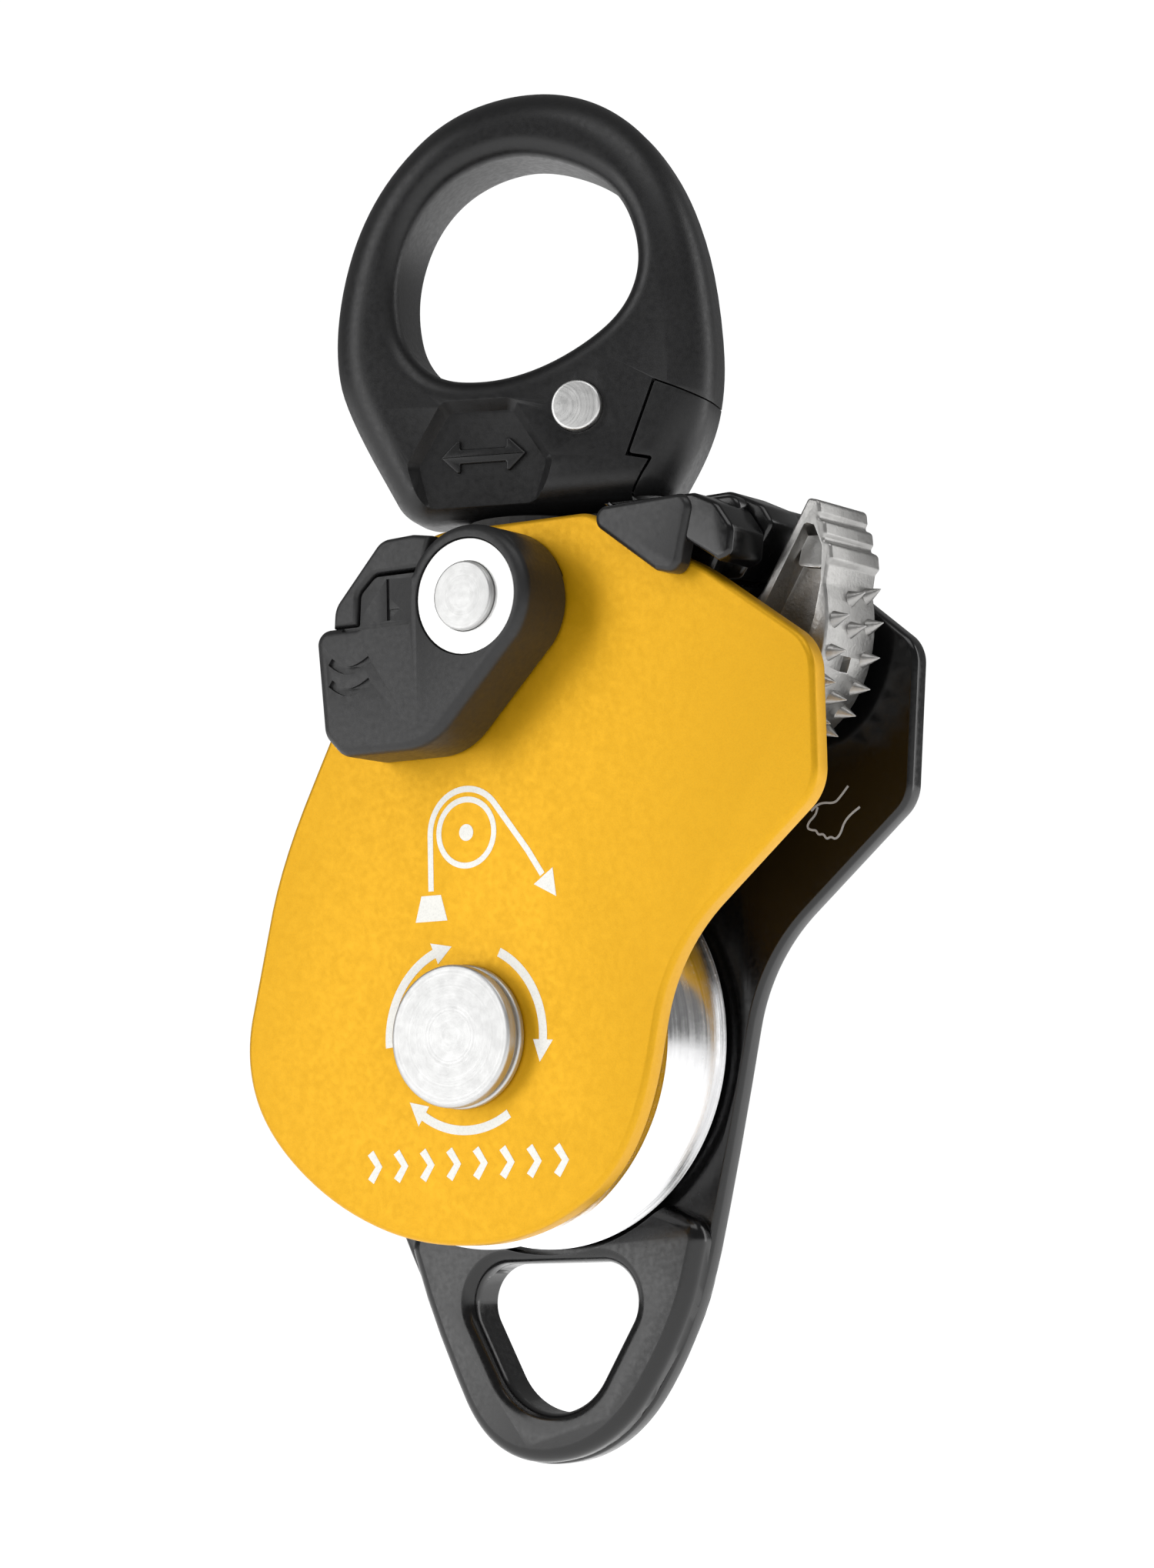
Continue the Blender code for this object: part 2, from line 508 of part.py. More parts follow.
lathe("sheave", [
    (BEARING_R, -4.6), (FLANGE_R - 6.0, -4.6), (FLANGE_R - 5.0, -SHEAVE_HALF),
    (FLANGE_R, -SHEAVE_HALF), (FLANGE_R, -SHEAVE_HALF + 1.0), (21.4, -5.0), (19.7, -2.6),
    (TREAD_R, 0.0), (19.7, 2.6), (21.4, 5.0), (FLANGE_R, SHEAVE_HALF - 1.0),
    (FLANGE_R, SHEAVE_HALF), (FLANGE_R - 5.0, SHEAVE_HALF), (FLANGE_R - 6.0, 4.6),
    (BEARING_R, 4.6)], AXIS, POLISHED, count=48)

# ---------------------------------------------------------------- opening side plate and latch

moving_outline = fillet([
    (-6.5, 60.9, 9.0), (18.4, 60.9, 5.0), (34.2, 52.8, 26.0), (48.5, 42.6, 6.0), (48.6, 25.8, 6.0),
    (28.4, 8.6, 24.0), (23.2, -15.0, FLOW), (9.8, -24.0, FLOW), (-6.0, -24.9, FLOW),
    (-19.5, -19.8, FLOW), (-29.8, -10.6, FLOW), (-33.0, -1.0, FLOW), (-30.4, 9.2, FLOW),
    (-27.2, 22.3, FLOW), (-18.6, 38.6, FLOW)], 9.0)
moving = place("moving_side_plate", flat([moving_outline], FRONT_FACE, FRONT_IN, 0.7, 0.5, 2),
               AXIS, YELLOW)
axle_way = rod("moving_axle_way", 0.0, 0.0, AXLE_R + GAP, -20.0, 0.0, count=32)
rivet_hole = rod("latch_rivet_hole", *LATCH, LATCH_PIN_R + 0.02, -20.0, 0.0)
catch_at = math.degrees(math.atan2(CATCH[1] - LATCH[1], CATCH[0] - LATCH[0]))
catch_reach = math.hypot(CATCH[0] - LATCH[0], CATCH[1] - LATCH[1])
catch_slot = prism("catch_slot", [p + (0.0,) for p in (
    arc(*LATCH, catch_reach - CATCH_R - GAP, catch_at + LATCH_TURN + 14.0, catch_at - 14.0, 5)
    + arc(*LATCH, catch_reach + CATCH_R + GAP, catch_at - 14.0, catch_at + LATCH_TURN + 14.0, 5))],
    -20.0, 0.0)
cut(moving, axle_way, rivet_hole, catch_slot)

LATCH_AXIS = (LATCH[0], 0.0, LATCH[1])
place("latch_guard", flat([fillet([
    (-11.6, 49.2, 0.4), (-11.0, 52.4, 1.0), (-7.4, 56.6, 2.0), (-3.4, 59.3, 1.5), (1.4, 59.3, 0.4),
    (0.2, 57.0, 0.2), (-5.8, 56.8, 1.4), (-8.0, 54.4, 1.4), (-8.4, 49.2, 0.4)], 16.0)],
    LATCH_FRONT + 0.9, FRONT_FACE - 0.02, 0.4, 0.0, 1), LATCH_AXIS, POLYMER)

latch = place("latch_lever", flat([fillet([
    (-13.6, 48.8, 1.6), (-14.2, 37.0, 3.0), (-8.6, 32.6, 2.0), (2.0, 32.8, 9.0)] + [
    p + (0.0,) for p in arc(*LATCH, LATCH_R - 0.2, -36.0, 138.0, 16)] + [
    (-5.4, 56.4, 1.4), (-7.6, 54.2, 1.4), (-8.0, 48.8, 0.5)], 12.0)],
    LATCH_FRONT, LATCH_BACK, 1.2, 0.0, 2), LATCH_AXIS, POLYMER)
catch_pin = rod("catch_pin", *CATCH, CATCH_R, LATCH_BACK - 3.5, FRONT_IN + 3.4, count=16)
washer_seat = rod("washer_seat", *LATCH, LATCH_WASHER_R + 0.3, -30.0, LATCH_FRONT + 1.2, count=32)
pin_way = rod("latch_pin_way", *LATCH, LATCH_PIN_R + GAP, -30.0, 0.0)
spring_room = rod("latch_spring_room", *LATCH, 5.6, LATCH_BACK - 3.0, -10.0, count=24)
face_relief = prism("latch_face_relief", [
    (-10.0, 49.2, 0.5), (-10.0, 60.0, 0.5), (1.2, 60.0, 0.5), (-0.6, 53.0, 0.5), (-0.4, 49.2, 0.5)],
    -30.0, LATCH_FRONT + 0.8)
cut(latch, washer_seat, pin_way, spring_room, face_relief)
add(latch, catch_pin)
for k in range(2):
    z = 45.0 - 2.5 * k
    chevron = [(-12.4, z, 0.0), (-10.0, z - 1.6, 0.0), (-6.8, z, 0.0), (-6.8, z - 1.1, 0.0),
               (-10.0, z - 2.7, 0.0), (-12.4, z - 1.1, 0.0)]
    cut(latch, prism("chevron_%d" % k, chevron, -30.0, LATCH_FRONT + 0.6))

lathe("latch_rivet", [
    (0.0, LATCH_FRONT - 0.3), (LATCH_HEAD_R - 0.4, LATCH_FRONT - 0.3), (LATCH_HEAD_R, LATCH_FRONT),
    (LATCH_HEAD_R, LATCH_FRONT + 1.08), (LATCH_PIN_R, LATCH_FRONT + 1.08),
    (LATCH_PIN_R, FRONT_IN - 0.9), (0.0, FRONT_IN - 0.9)], LATCH_AXIS, STEEL, count=24)
lathe("latch_washer", [
    (LATCH_HEAD_R + 0.05, LATCH_FRONT + 0.2), (LATCH_WASHER_R, LATCH_FRONT + 0.2),
    (LATCH_WASHER_R, LATCH_FRONT + 1.0), (LATCH_HEAD_R + 0.05, LATCH_FRONT + 1.0)],
    LATCH_AXIS, STEEL)
latch_coil = coil_y(*LATCH, 4.2, LATCH_BACK - 2.4, LATCH_BACK - 0.3 - 0.1, 3.0, 0.0,
                    (LATCH[0] + 4.2, LATCH[1] - 1.0), (LATCH[0] + 4.2, LATCH[1] + 1.0))
place("latch_spring", wire(latch_coil, 0.3), LATCH_AXIS, SPRING)

# ---------------------------------------------------------------- cam group

CAM_AXIS = (CAM[0], 0.0, CAM[1])


def about_cam(r, degrees):
    t = math.radians(degrees)
    return CAM[0] + r * math.cos(t), CAM[1] + r * math.sin(t)


def tooth_radius(degrees):
    """Radius of the toothed spiral about the cam pivot."""
    return TOOTH_LOW + (TOOTH_TOP - TOOTH_LOW) * (degrees + 20.0) / 60.0


face = [about_cam(tooth_radius(a), a) + (3.0,) for a in (-20, -12, -4, 4, 12, 20, 28, 36)]
cam_outline = fillet([about_cam(CAM_BOSS_R, -75.0) + (3.0,)] + face + [
    about_cam(24.0, 43.0) + (0.8,), about_cam(26.4, 48.0) + (0.6,), about_cam(27.6, 54.0) + (1.4,),
    about_cam(26.0, 57.0) + (1.2,), about_cam(14.4, 59.5) + (4.0,),
    about_cam(CAM_BOSS_R + 0.8, 110.0) + (4.5,), about_cam(CAM_BOSS_R + 0.8, 200.0) + (5.0,)], 16.0)
cam = place("toothed_cam", flat([cam_outline], -CAM_HALF, CAM_HALF, 0.5, 0.5, 1), CAM_AXIS, STEEL)
cam_way = rod("cam_pin_way", *CAM, CAM_PIN_R + GAP, -10.0, 10.0)
pocket = prism("cam_pocket", [
    about_cam(8.6, 12.0) + (1.0,), about_cam(11.4, 4.0) + (1.0,), about_cam(17.6, 32.0) + (1.0,),
    about_cam(23.4, 51.0) + (1.0,), about_cam(13.6, 53.0) + (1.0,)], -10.0, 0.6)
slot = prism("cam_cleaning_slot", [
    about_cam(8.0, 8.0) + (0.0,), about_cam(26.0, 11.0) + (0.0,), about_cam(26.0, 15.0) + (0.0,),
    about_cam(8.0, 17.0) + (0.0,)], -1.2, 1.2)
dimple = rod("detent_dimple", *DETENT, DETENT_R + GAP, CAM_HALF - 0.6, 9.0, count=16)
cut(cam, cam_way, pocket, slot, dimple)

teeth = bmesh.new()
spiral = math.degrees(math.atan2((TOOTH_TOP - TOOTH_LOW) / math.radians(60.0), 17.0))
for y, spots in ((-3.7, (-8.0, 8.0, 24.0)), (0.0, (0.0, 26.0)), (3.7, (-8.0, 8.0, 24.0))):
    for where in spots:
        x, z = about_cam(tooth_radius(where) + (TOOTH_H - 0.9) / 2, where)
        lean = Matrix.Rotation(math.radians(90.0 - where + spiral * 0.8), 4, "Y")
        bmesh.ops.create_cone(teeth, cap_ends=True, cap_tris=True, segments=10,
                              radius1=TOOTH_R * 1.4, radius2=0.02, depth=TOOTH_H + 0.9,
                              matrix=Matrix.Translation((x, y, z)) @ lean)
add(cam, place("cam_teeth", teeth))

lathe("cam_pivot_pin", [
    (0.0, -7.4), (CAM_PIN_R - 0.4, -7.4), (CAM_PIN_R, -7.0), (CAM_PIN_R, BACK_FACE + 0.02),
    (4.6, BACK_FACE + 0.02), (4.6, BACK_FACE + 0.9), (4.0, BACK_FACE + 1.3),
    (0.0, BACK_FACE + 1.3)], CAM_AXIS, STEEL, count=24)
lathe("cam_retaining_ring", [
    (CAM_PIN_R + 0.02, -7.0), (4.4, -7.0), (4.4, -6.2), (CAM_PIN_R + 0.02, -6.2)],
    CAM_AXIS, STEEL, count=24)
cam_coil = coil_y(*CAM, 3.9, 6.4, 8.2, 2.25, math.radians(200.0), about_cam(6.4, 185.0),
                  about_cam(6.2, -70.0))
place("cam_spring", wire(cam_coil, 0.3), CAM_AXIS, SPRING)

DETENT_AXIS = (DETENT[0], 0.0, DETENT[1])
cup_back = BACK_FACE + 1.6
lathe("detent_cup", [
    (0.0, cup_back), (DETENT_R + 1.0, cup_back), (DETENT_R + 1.6, cup_back - 0.5),
    (DETENT_R + 1.6, BACK_IN + 0.1), (DETENT_R + GAP, BACK_IN + 0.1),
    (DETENT_R + GAP, cup_back - 0.8), (0.0, cup_back - 0.8)], DETENT_AXIS, STEEL, count=20)
lathe("detent_plunger", [
    (0.0, CAM_HALF + GAP), (0.6, CAM_HALF + GAP + 0.1), (DETENT_R, CAM_HALF + GAP + 1.1),
    (DETENT_R, BACK_IN + 1.4), (0.0, BACK_IN + 1.4)], DETENT_AXIS, STEEL, count=16)
detent_coil = coil_y(*DETENT, 1.0, BACK_IN + 1.7, cup_back - 1.1, 3.0, 0.0, per_turn=10)
place("detent_spring", wire(detent_coil, 0.16, 1), DETENT_AXIS, SPRING)
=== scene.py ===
import math

import bmesh
import bpy
import numpy as np
from mathutils import Matrix, Vector


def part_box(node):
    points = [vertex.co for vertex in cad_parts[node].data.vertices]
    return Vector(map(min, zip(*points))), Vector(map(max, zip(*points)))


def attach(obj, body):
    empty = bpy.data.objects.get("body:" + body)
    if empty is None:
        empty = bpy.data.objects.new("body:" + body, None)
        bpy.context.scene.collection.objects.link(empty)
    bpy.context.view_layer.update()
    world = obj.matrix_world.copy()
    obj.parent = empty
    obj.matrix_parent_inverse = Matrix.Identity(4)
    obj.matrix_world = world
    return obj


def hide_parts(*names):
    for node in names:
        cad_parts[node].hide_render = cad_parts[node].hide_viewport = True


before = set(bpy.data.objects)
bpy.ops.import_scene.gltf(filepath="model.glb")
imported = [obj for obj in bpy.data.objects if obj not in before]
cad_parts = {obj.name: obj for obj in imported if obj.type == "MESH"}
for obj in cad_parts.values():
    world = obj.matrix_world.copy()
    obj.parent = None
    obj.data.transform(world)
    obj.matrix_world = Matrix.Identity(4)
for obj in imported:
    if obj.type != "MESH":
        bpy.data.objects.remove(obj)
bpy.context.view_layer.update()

MM = 0.001

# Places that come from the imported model, in metres
sheave_lo, sheave_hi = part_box("sheave")
AXLE = (sheave_lo + sheave_hi) / 2.0
plate_lo, plate_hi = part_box("moving_side_plate")
latch_lo, latch_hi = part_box("latch_lever")
rivet_lo, rivet_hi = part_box("latch_rivet")
pin_lo, pin_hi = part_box("cam_pivot_pin")
cap_lo, cap_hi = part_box("axle_cap")

RING_TURN = math.radians(17.4)
RING_Z = -AXLE.z / MM                       # ring hole centre above the axle
FRONT = plate_lo.y / MM                     # outer face of the opening plate
FRONT_IN = plate_hi.y / MM
BACK = 11.6                                 # outer face of the fixed plate
BACK_IN = BACK - 3.0
LATCH = ((rivet_lo.x + rivet_hi.x) / 2 / MM - AXLE.x / MM,
         (rivet_lo.z + rivet_hi.z) / 2 / MM - AXLE.z / MM)
CAM = ((pin_lo.x + pin_hi.x) / 2 / MM - AXLE.x / MM,
       (pin_lo.z + pin_hi.z) / 2 / MM - AXLE.z / MM)
CAP_FRONT = cap_lo.y / MM
LATCH_FRONT = latch_lo.y / MM
LATCH_BACK = FRONT - 0.3
SWIVEL_X = 2.6                              # swivel axis, sideways from the sheave axle
SWING_R = 64.8                              # the opening plate swings inside this radius
AXLE_R = 5.0
CROSS = (8.2, 75.6)                         # cross pin of the ring, in the ring's own frame
CATCH = (12.6, 54.5)                        # catch pin of the latch
CATCH_R = 1.5
CATCH_REACH = math.hypot(CATCH[0] - LATCH[0], CATCH[1] - LATCH[1])
CATCH_AT = math.degrees(math.atan2(CATCH[1] - LATCH[1], CATCH[0] - LATCH[0]))
CAM_HALF = 5.7                              # half width of the cam
DETENT = (37.4, 46.4)                       # sprung catch behind the cam
FINE = 2.5                                  # arc step of the large outlines, in degrees


# ------------------------------------------------------------------ drawing helpers

FLOW = None                                 # corner radius of a corner blended from edge to edge


def fillet(corners, step=4.0):
    """Rounds a polygon of (x, z, radius) corners; step is the arc step in degrees."""
    out = []
    n = len(corners)
    for i in range(n):
        corner = Vector(corners[i][:2])
        a = Vector(corners[i - 1][:2]) - corner
        b = Vector(corners[(i + 1) % n][:2]) - corner
        r = corners[i][2]
        half = a.angle(b) / 2.0
        if r is FLOW:
            count = max(3, round((180.0 - 2.0 * math.degrees(half)) / step))
            for k in range(count):
                t = (k + 0.5) / count
                out.append(tuple(corner + a * 0.5 * (1 - t) ** 2 + b * 0.5 * t ** 2))
            continue
        if r <= 0.0 or half > math.radians(89.5):
            out.append(tuple(corner))
            continue
        reach = min(r / math.tan(half), 0.49 * a.length, 0.49 * b.length)
        r = reach * math.tan(half)
        a.normalize()
        b.normalize()
        centre = corner + (a + b).normalized() * (r / math.sin(half))
        start = corner + a * reach - centre
        sweep = math.pi - 2.0 * half
        sign = 1.0 if a.x * b.y - a.y * b.x < 0 else -1.0
        count = max(2, round(math.degrees(sweep) / step))
        for k in range(count + 1):
            out.append(tuple(centre + Matrix.Rotation(sign * sweep * k / count, 2) @ start))
    return out


def circle(cx, cz, r, count=96):
    """A closed loop."""
    return arc(cx, cz, r, 0.0, 360.0 * (count - 1) / count, count - 1)


def arc(cx, cz, r, start, end, count):
    """Points from start to end, in degrees counter-clockwise seen from the front."""
    turn = [math.radians(start + (end - start) * k / count) for k in range(count + 1)]
    return [(cx + r * math.cos(t), cz + r * math.sin(t)) for t in turn]


def evaluated(made):
    """The mesh of a curve object as it looks, with the object removed."""
    bpy.context.scene.collection.objects.link(made)
    bpy.context.view_layer.update()
    graph = bpy.context.evaluated_depsgraph_get()
    mesh = bpy.data.meshes.new_from_object(made.evaluated_get(graph))
    bm = bmesh.new()
    bm.from_mesh(mesh)
    bmesh.ops.remove_doubles(bm, verts=bm.verts, dist=0.0005)
    bpy.data.objects.remove(made, do_unlink=True)
    bpy.data.meshes.remove(mesh)
    return bm


def flat(loops, y0, y1, front_r=0.0, back_r=0.0, steps=5):
    """A filled outline with holes, drawn in X-Z and as deep as y0 to y1, with rounded rims."""
    data = bpy.data.curves.new("outline", "CURVE")
    data.dimensions = "2D"
    data.fill_mode = "BOTH"
    data.extrude = (y1 - y0) / 2
    for loop in loops:
        spline = data.splines.new("POLY")
        spline.points.add(len(loop) - 1)
        for point, (x, z) in zip(spline.points, loop):
            point.co = (x, z, 0.0, 1.0)
        spline.use_cyclic_u = True
    bm = evaluated(bpy.data.objects.new("outline", data))
    stand = Matrix.Translation((0.0, (y0 + y1) / 2, 0.0)) @ Matrix.Rotation(math.pi / 2, 4, "X")
    bmesh.ops.transform(bm, matrix=stand, verts=bm.verts)
    if front_r or back_r:
        bmesh.ops.dissolve_limit(bm, angle_limit=0.001, verts=bm.verts, edges=bm.edges)
    for y, r in ((y0, front_r), (y1, back_r)):
        if not r:
            continue
        rim = [e for e in bm.edges if all(abs(v.co.y - y) < 0.01 for v in e.verts)
               and any(abs(f.normal.y) < 0.5 for f in e.link_faces)]
        bmesh.ops.bevel(bm, geom=rim, offset=r, offset_type="OFFSET", segments=steps,
                        profile=0.5, affect="EDGES", clamp_overlap=False)
    return bm


def loft(*rows):
    """A closed body through (y, loop) rows of equally many points."""
    bm = bmesh.new()
    rings = [[bm.verts.new((x, y, z)) for x, z in loop] for y, loop in rows]
    n = len(rings[0])
    for low, high in zip(rings, rings[1:]):
        for i in range(n):
            bm.faces.new((low[i], low[(i + 1) % n], high[(i + 1) % n], high[i]))
    bm.faces.new(rings[0])
    bm.faces.new(rings[-1][::-1])
    return bm


def smooth(points, rounds=2):
    """A polyline with its corners cut twice, ends kept."""
    for _ in range(rounds):
        out = [points[0]]
        for a, b in zip(points, points[1:]):
            a, b = Vector(a), Vector(b)
            out += [tuple(a.lerp(b, 0.25)), tuple(a.lerp(b, 0.75))]
        points = out + [points[-1]]
    return points


def band(points, width):
    """The outline of a stroke of the given width along a polyline."""
    left, right = [], []
    for i, p in enumerate(points):
        a, b = Vector(points[max(i - 1, 0)]), Vector(points[min(i + 1, len(points) - 1)])
        side = (b - a).normalized().orthogonal() * width / 2
        left.append(tuple(Vector(p) + side))
        right.append(tuple(Vector(p) - side))
    return left + right[::-1]


def joined(drawings):
    """One drawing out of several that don't touch."""
    bm = bmesh.new()
    for part in drawings:
        mesh = bpy.data.meshes.new("part")
        part.to_mesh(mesh)
        part.free()
        bm.from_mesh(mesh)
        bpy.data.meshes.remove(mesh)
    return bm


def lathe(profile, cx, cz, count=96):
    """A body turned about a Y-parallel axis, from (radius, y) points."""
    return revolve(profile, count, lambda r, y, c, s: (cx + r * c, y, cz + r * s))


def lathe_z(profile, cx, cy, count=96):
    """A body turned about a vertical axis, from (radius, z) points."""
    return revolve(profile, count, lambda r, z, c, s: (cx + r * c, cy + r * s, z))


def revolve(profile, count, at):
    """Sweeps a profile round; at(r, h, cos, sin) gives each point's place."""
    bm = bmesh.new()
    rows = []
    for r, h in profile:
        if r < 1e-6:
            rows.append([bm.verts.new(at(0.0, h, 1.0, 0.0))])
            continue
        turn = [math.tau * k / count for k in range(count)]
        rows.append([bm.verts.new(at(r, h, math.cos(t), math.sin(t))) for t in turn])
    closed = profile[0][0] > 1e-6
    for a, b in list(zip(rows, rows[1:])) + ([(rows[-1], rows[0])] if closed else []):
        for i in range(count):
            j = (i + 1) % count
            if len(a) == 1 and len(b) == 1:
                break
            if len(a) == 1:
                bm.faces.new((a[0], b[j], b[i]))
            elif len(b) == 1:
                bm.faces.new((a[i], a[j], b[0]))
            else:
                bm.faces.new((a[i], a[j], b[j], b[i]))
    return bm


def soften(profile, r, steps=4):
    """Rounds the corners of an open or closed turned profile by radius r."""
    out = []
    n = len(profile)
    closed = profile[0][0] > 1e-6
    for i, (x, y) in enumerate(profile):
        if not closed and i in (0, n - 1):
            out.append((x, y))
            continue
        c = Vector((x, y))
        a, b = Vector(profile[i - 1]) - c, Vector(profile[(i + 1) % n]) - c
        angle = a.angle(b)
        if angle > math.radians(165.0):
            out.append((x, y))
            continue
        reach = min(r / math.tan(angle / 2), 0.45 * a.length, 0.45 * b.length)
        a.normalize()
        b.normalize()
        for k in range(steps + 1):
            t = k / steps
            out.append(tuple((c + a * reach) * (1 - t) ** 2 + c * 2 * t * (1 - t) + (c + b * reach) * t * t))
    return out


def to_world(p, ring):
    """Metres in the shared frame, from millimetres in the body frame or the ring's turned frame."""
    if ring:
        q = Matrix.Rotation(RING_TURN, 3, "Z") @ Vector((p[0], p[1], 0.0))
        return Vector((q.x * MM, q.y * MM, (p[2] - RING_Z) * MM))
    return Vector((p[0] * MM + AXLE.x, p[1] * MM, p[2] * MM + AXLE.z))


PIECES = []
CUTTERS = []


def place(name, bm, finish=None, body=None, stands_for=(), ring=False, sharp=32.0):
    """Turns a drawing in body-frame millimetres into an object; one with no finish is a cutter."""
    bmesh.ops.recalc_face_normals(bm, faces=bm.faces)
    for v in bm.verts:
        v.co = to_world(v.co, ring)
    mesh = bpy.data.meshes.new(name)
    bm.to_mesh(mesh)
    bm.free()
    made = bpy.data.objects.new(name, mesh)
    bpy.context.scene.collection.objects.link(made)
    if finish is None:
        made.hide_render = True
        CUTTERS.append(made)
        return made
    mesh.materials.append(finish)
    made["sharp"] = sharp
    PIECES.append((made, body, tuple(stands_for)))
    return made


def combine(target, tool, how):
    """Adds an exact Boolean step, worked out when all pieces are drawn."""
    step = target.modifiers.new(how.lower() + "_" + tool.name, "BOOLEAN")
    step.operation = how
    step.solver = "EXACT"
    step.object = tool


def cut(target, *tools):
    for tool in tools:
        combine(target, tool, "DIFFERENCE")


def add(target, *tools):
    for tool in tools:
        combine(target, tool, "UNION")


def soft_edges(target, width=0.2, segments=2, angle=35.0):
    """Rounds the sharp edges that the cuts leave."""
    step = target.modifiers.new("soft_edges", "BEVEL")
    step.width = width * MM
    step.segments = segments
    step.limit_method = "ANGLE"
    step.angle_limit = math.radians(angle)
    step.use_clamp_overlap = True
    step.miter_outer = "MITER_ARC"


def prism(name, corners, y0, y1, ring=False, step=8.0):
    return place(name, flat([fillet(corners, step)], y0, y1), ring=ring)


def rod(name, cx, cz, r, y0, y1, ring=False, count=64):
    return place(name, flat([circle(cx, cz, r, count)], y0, y1), ring=ring)


# ------------------------------------------------------------------ materials

class Nodes:
    """A small builder for one material's node tree."""

    def __init__(self, name, colour, metallic, roughness, **more):
        self.mat = bpy.data.materials.new(name)
        self.mat.use_nodes = True
        self.tree = self.mat.node_tree
        self.shader = self.tree.nodes["Principled BSDF"]
        self.shader.inputs["Base Color"].default_value = (*colour, 1.0)
        self.shader.inputs["Metallic"].default_value = metallic
        self.shader.inputs["Roughness"].default_value = roughness
        for key, value in more.items():
            self.shader.inputs[key.replace("_", " ")].default_value = value
        self.mat.diffuse_color = (*colour, 1.0)

    def node(self, kind, **inputs):
        made = self.tree.nodes.new(kind)
        for key, value in inputs.items():
            key = key.replace("_", " ")
            if isinstance(value, bpy.types.NodeSocket):
                self.tree.links.new(value, made.inputs[key])
            else:
                made.inputs[key].default_value = value
        return made

    def link(self, out, name):
        self.tree.links.new(out, self.shader.inputs[name])

    def coords(self, stretch=(1.0, 1.0, 1.0)):
        tex = self.node("ShaderNodeTexCoord")
        scaled = self.node("ShaderNodeVectorMath")
        scaled.operation = "MULTIPLY"
        self.tree.links.new(tex.outputs["Object"], scaled.inputs[0])
        scaled.inputs[1].default_value = stretch
        return scaled.outputs[0]

    def noise(self, at, scale, detail=3.0, rough=0.55):
        made = self.node("ShaderNodeTexNoise", Scale=scale, Detail=detail, Roughness=rough)
        self.tree.links.new(at, made.inputs["Vector"])
        return made.outputs["Fac"]

    def spread(self, value, low, high, from_low=0.3, from_high=0.7):
        made = self.node("ShaderNodeMapRange")
        self.tree.links.new(value, made.inputs["Value"])
        made.inputs["From Min"].default_value = from_low
        made.inputs["From Max"].default_value = from_high
        made.inputs["To Min"].default_value = low
        made.inputs["To Max"].default_value = high
        return made.outputs["Result"]

    def math(self, how, a, b):
        made = self.node("ShaderNodeMath")
        made.operation = how
        for i, value in enumerate((a, b)):
            if isinstance(value, bpy.types.NodeSocket):
                self.tree.links.new(value, made.inputs[i])
            else:
                made.inputs[i].default_value = value
        return made.outputs[0]

    def mix(self, factor, a, b):
        made = self.node("ShaderNodeMix")
        made.data_type = "RGBA"
        made.clamp_factor = True
        sockets = [s for s in made.inputs if s.enabled]
        for socket, value in zip(sockets, (factor, a, b)):
            if isinstance(value, bpy.types.NodeSocket):
                self.tree.links.new(value, socket)
            else:
                socket.default_value = value if isinstance(value, float) else (*value, 1.0)
        return [s for s in made.outputs if s.enabled][0]

    def edge(self, radius, low=0.02, high=0.25):
        """1 on convex and concave edges, 0 on open faces, from a bevelled normal."""
        bevel = self.node("ShaderNodeBevel", Radius=radius)
        bevel.samples = 6
        geo = self.node("ShaderNodeNewGeometry")
        dot = self.node("ShaderNodeVectorMath")
        dot.operation = "DOT_PRODUCT"
        self.tree.links.new(bevel.outputs[0], dot.inputs[0])
        self.tree.links.new(geo.outputs["Normal"], dot.inputs[1])
        off = self.math("SUBTRACT", 1.0, dot.outputs["Value"])
        return self.spread(off, 0.0, 1.0, low, high)

    def bump(self, height, strength, distance):
        made = self.node("ShaderNodeBump", Strength=strength, Distance=distance)
        self.tree.links.new(height, made.inputs["Height"])
        self.link(made.outputs["Normal"], "Normal")

    def around(self, cx, cz):
        """Distance from a Y-parallel axis, in metres."""
        tex = self.node("ShaderNodeTexCoord")
        shift = self.node("ShaderNodeVectorMath")
        shift.operation = "SUBTRACT"
        self.tree.links.new(tex.outputs["Object"], shift.inputs[0])
        shift.inputs[1].default_value = (cx, 0.0, cz)
        flat = self.node("ShaderNodeVectorMath")
        flat.operation = "MULTIPLY"
        self.tree.links.new(shift.outputs[0], flat.inputs[0])
        flat.inputs[1].default_value = (1.0, 0.0, 1.0)
        size = self.node("ShaderNodeVectorMath")
        size.operation = "LENGTH"
        self.tree.links.new(flat.outputs[0], size.inputs[0])
        return size.outputs["Value"], tex.outputs["Object"]


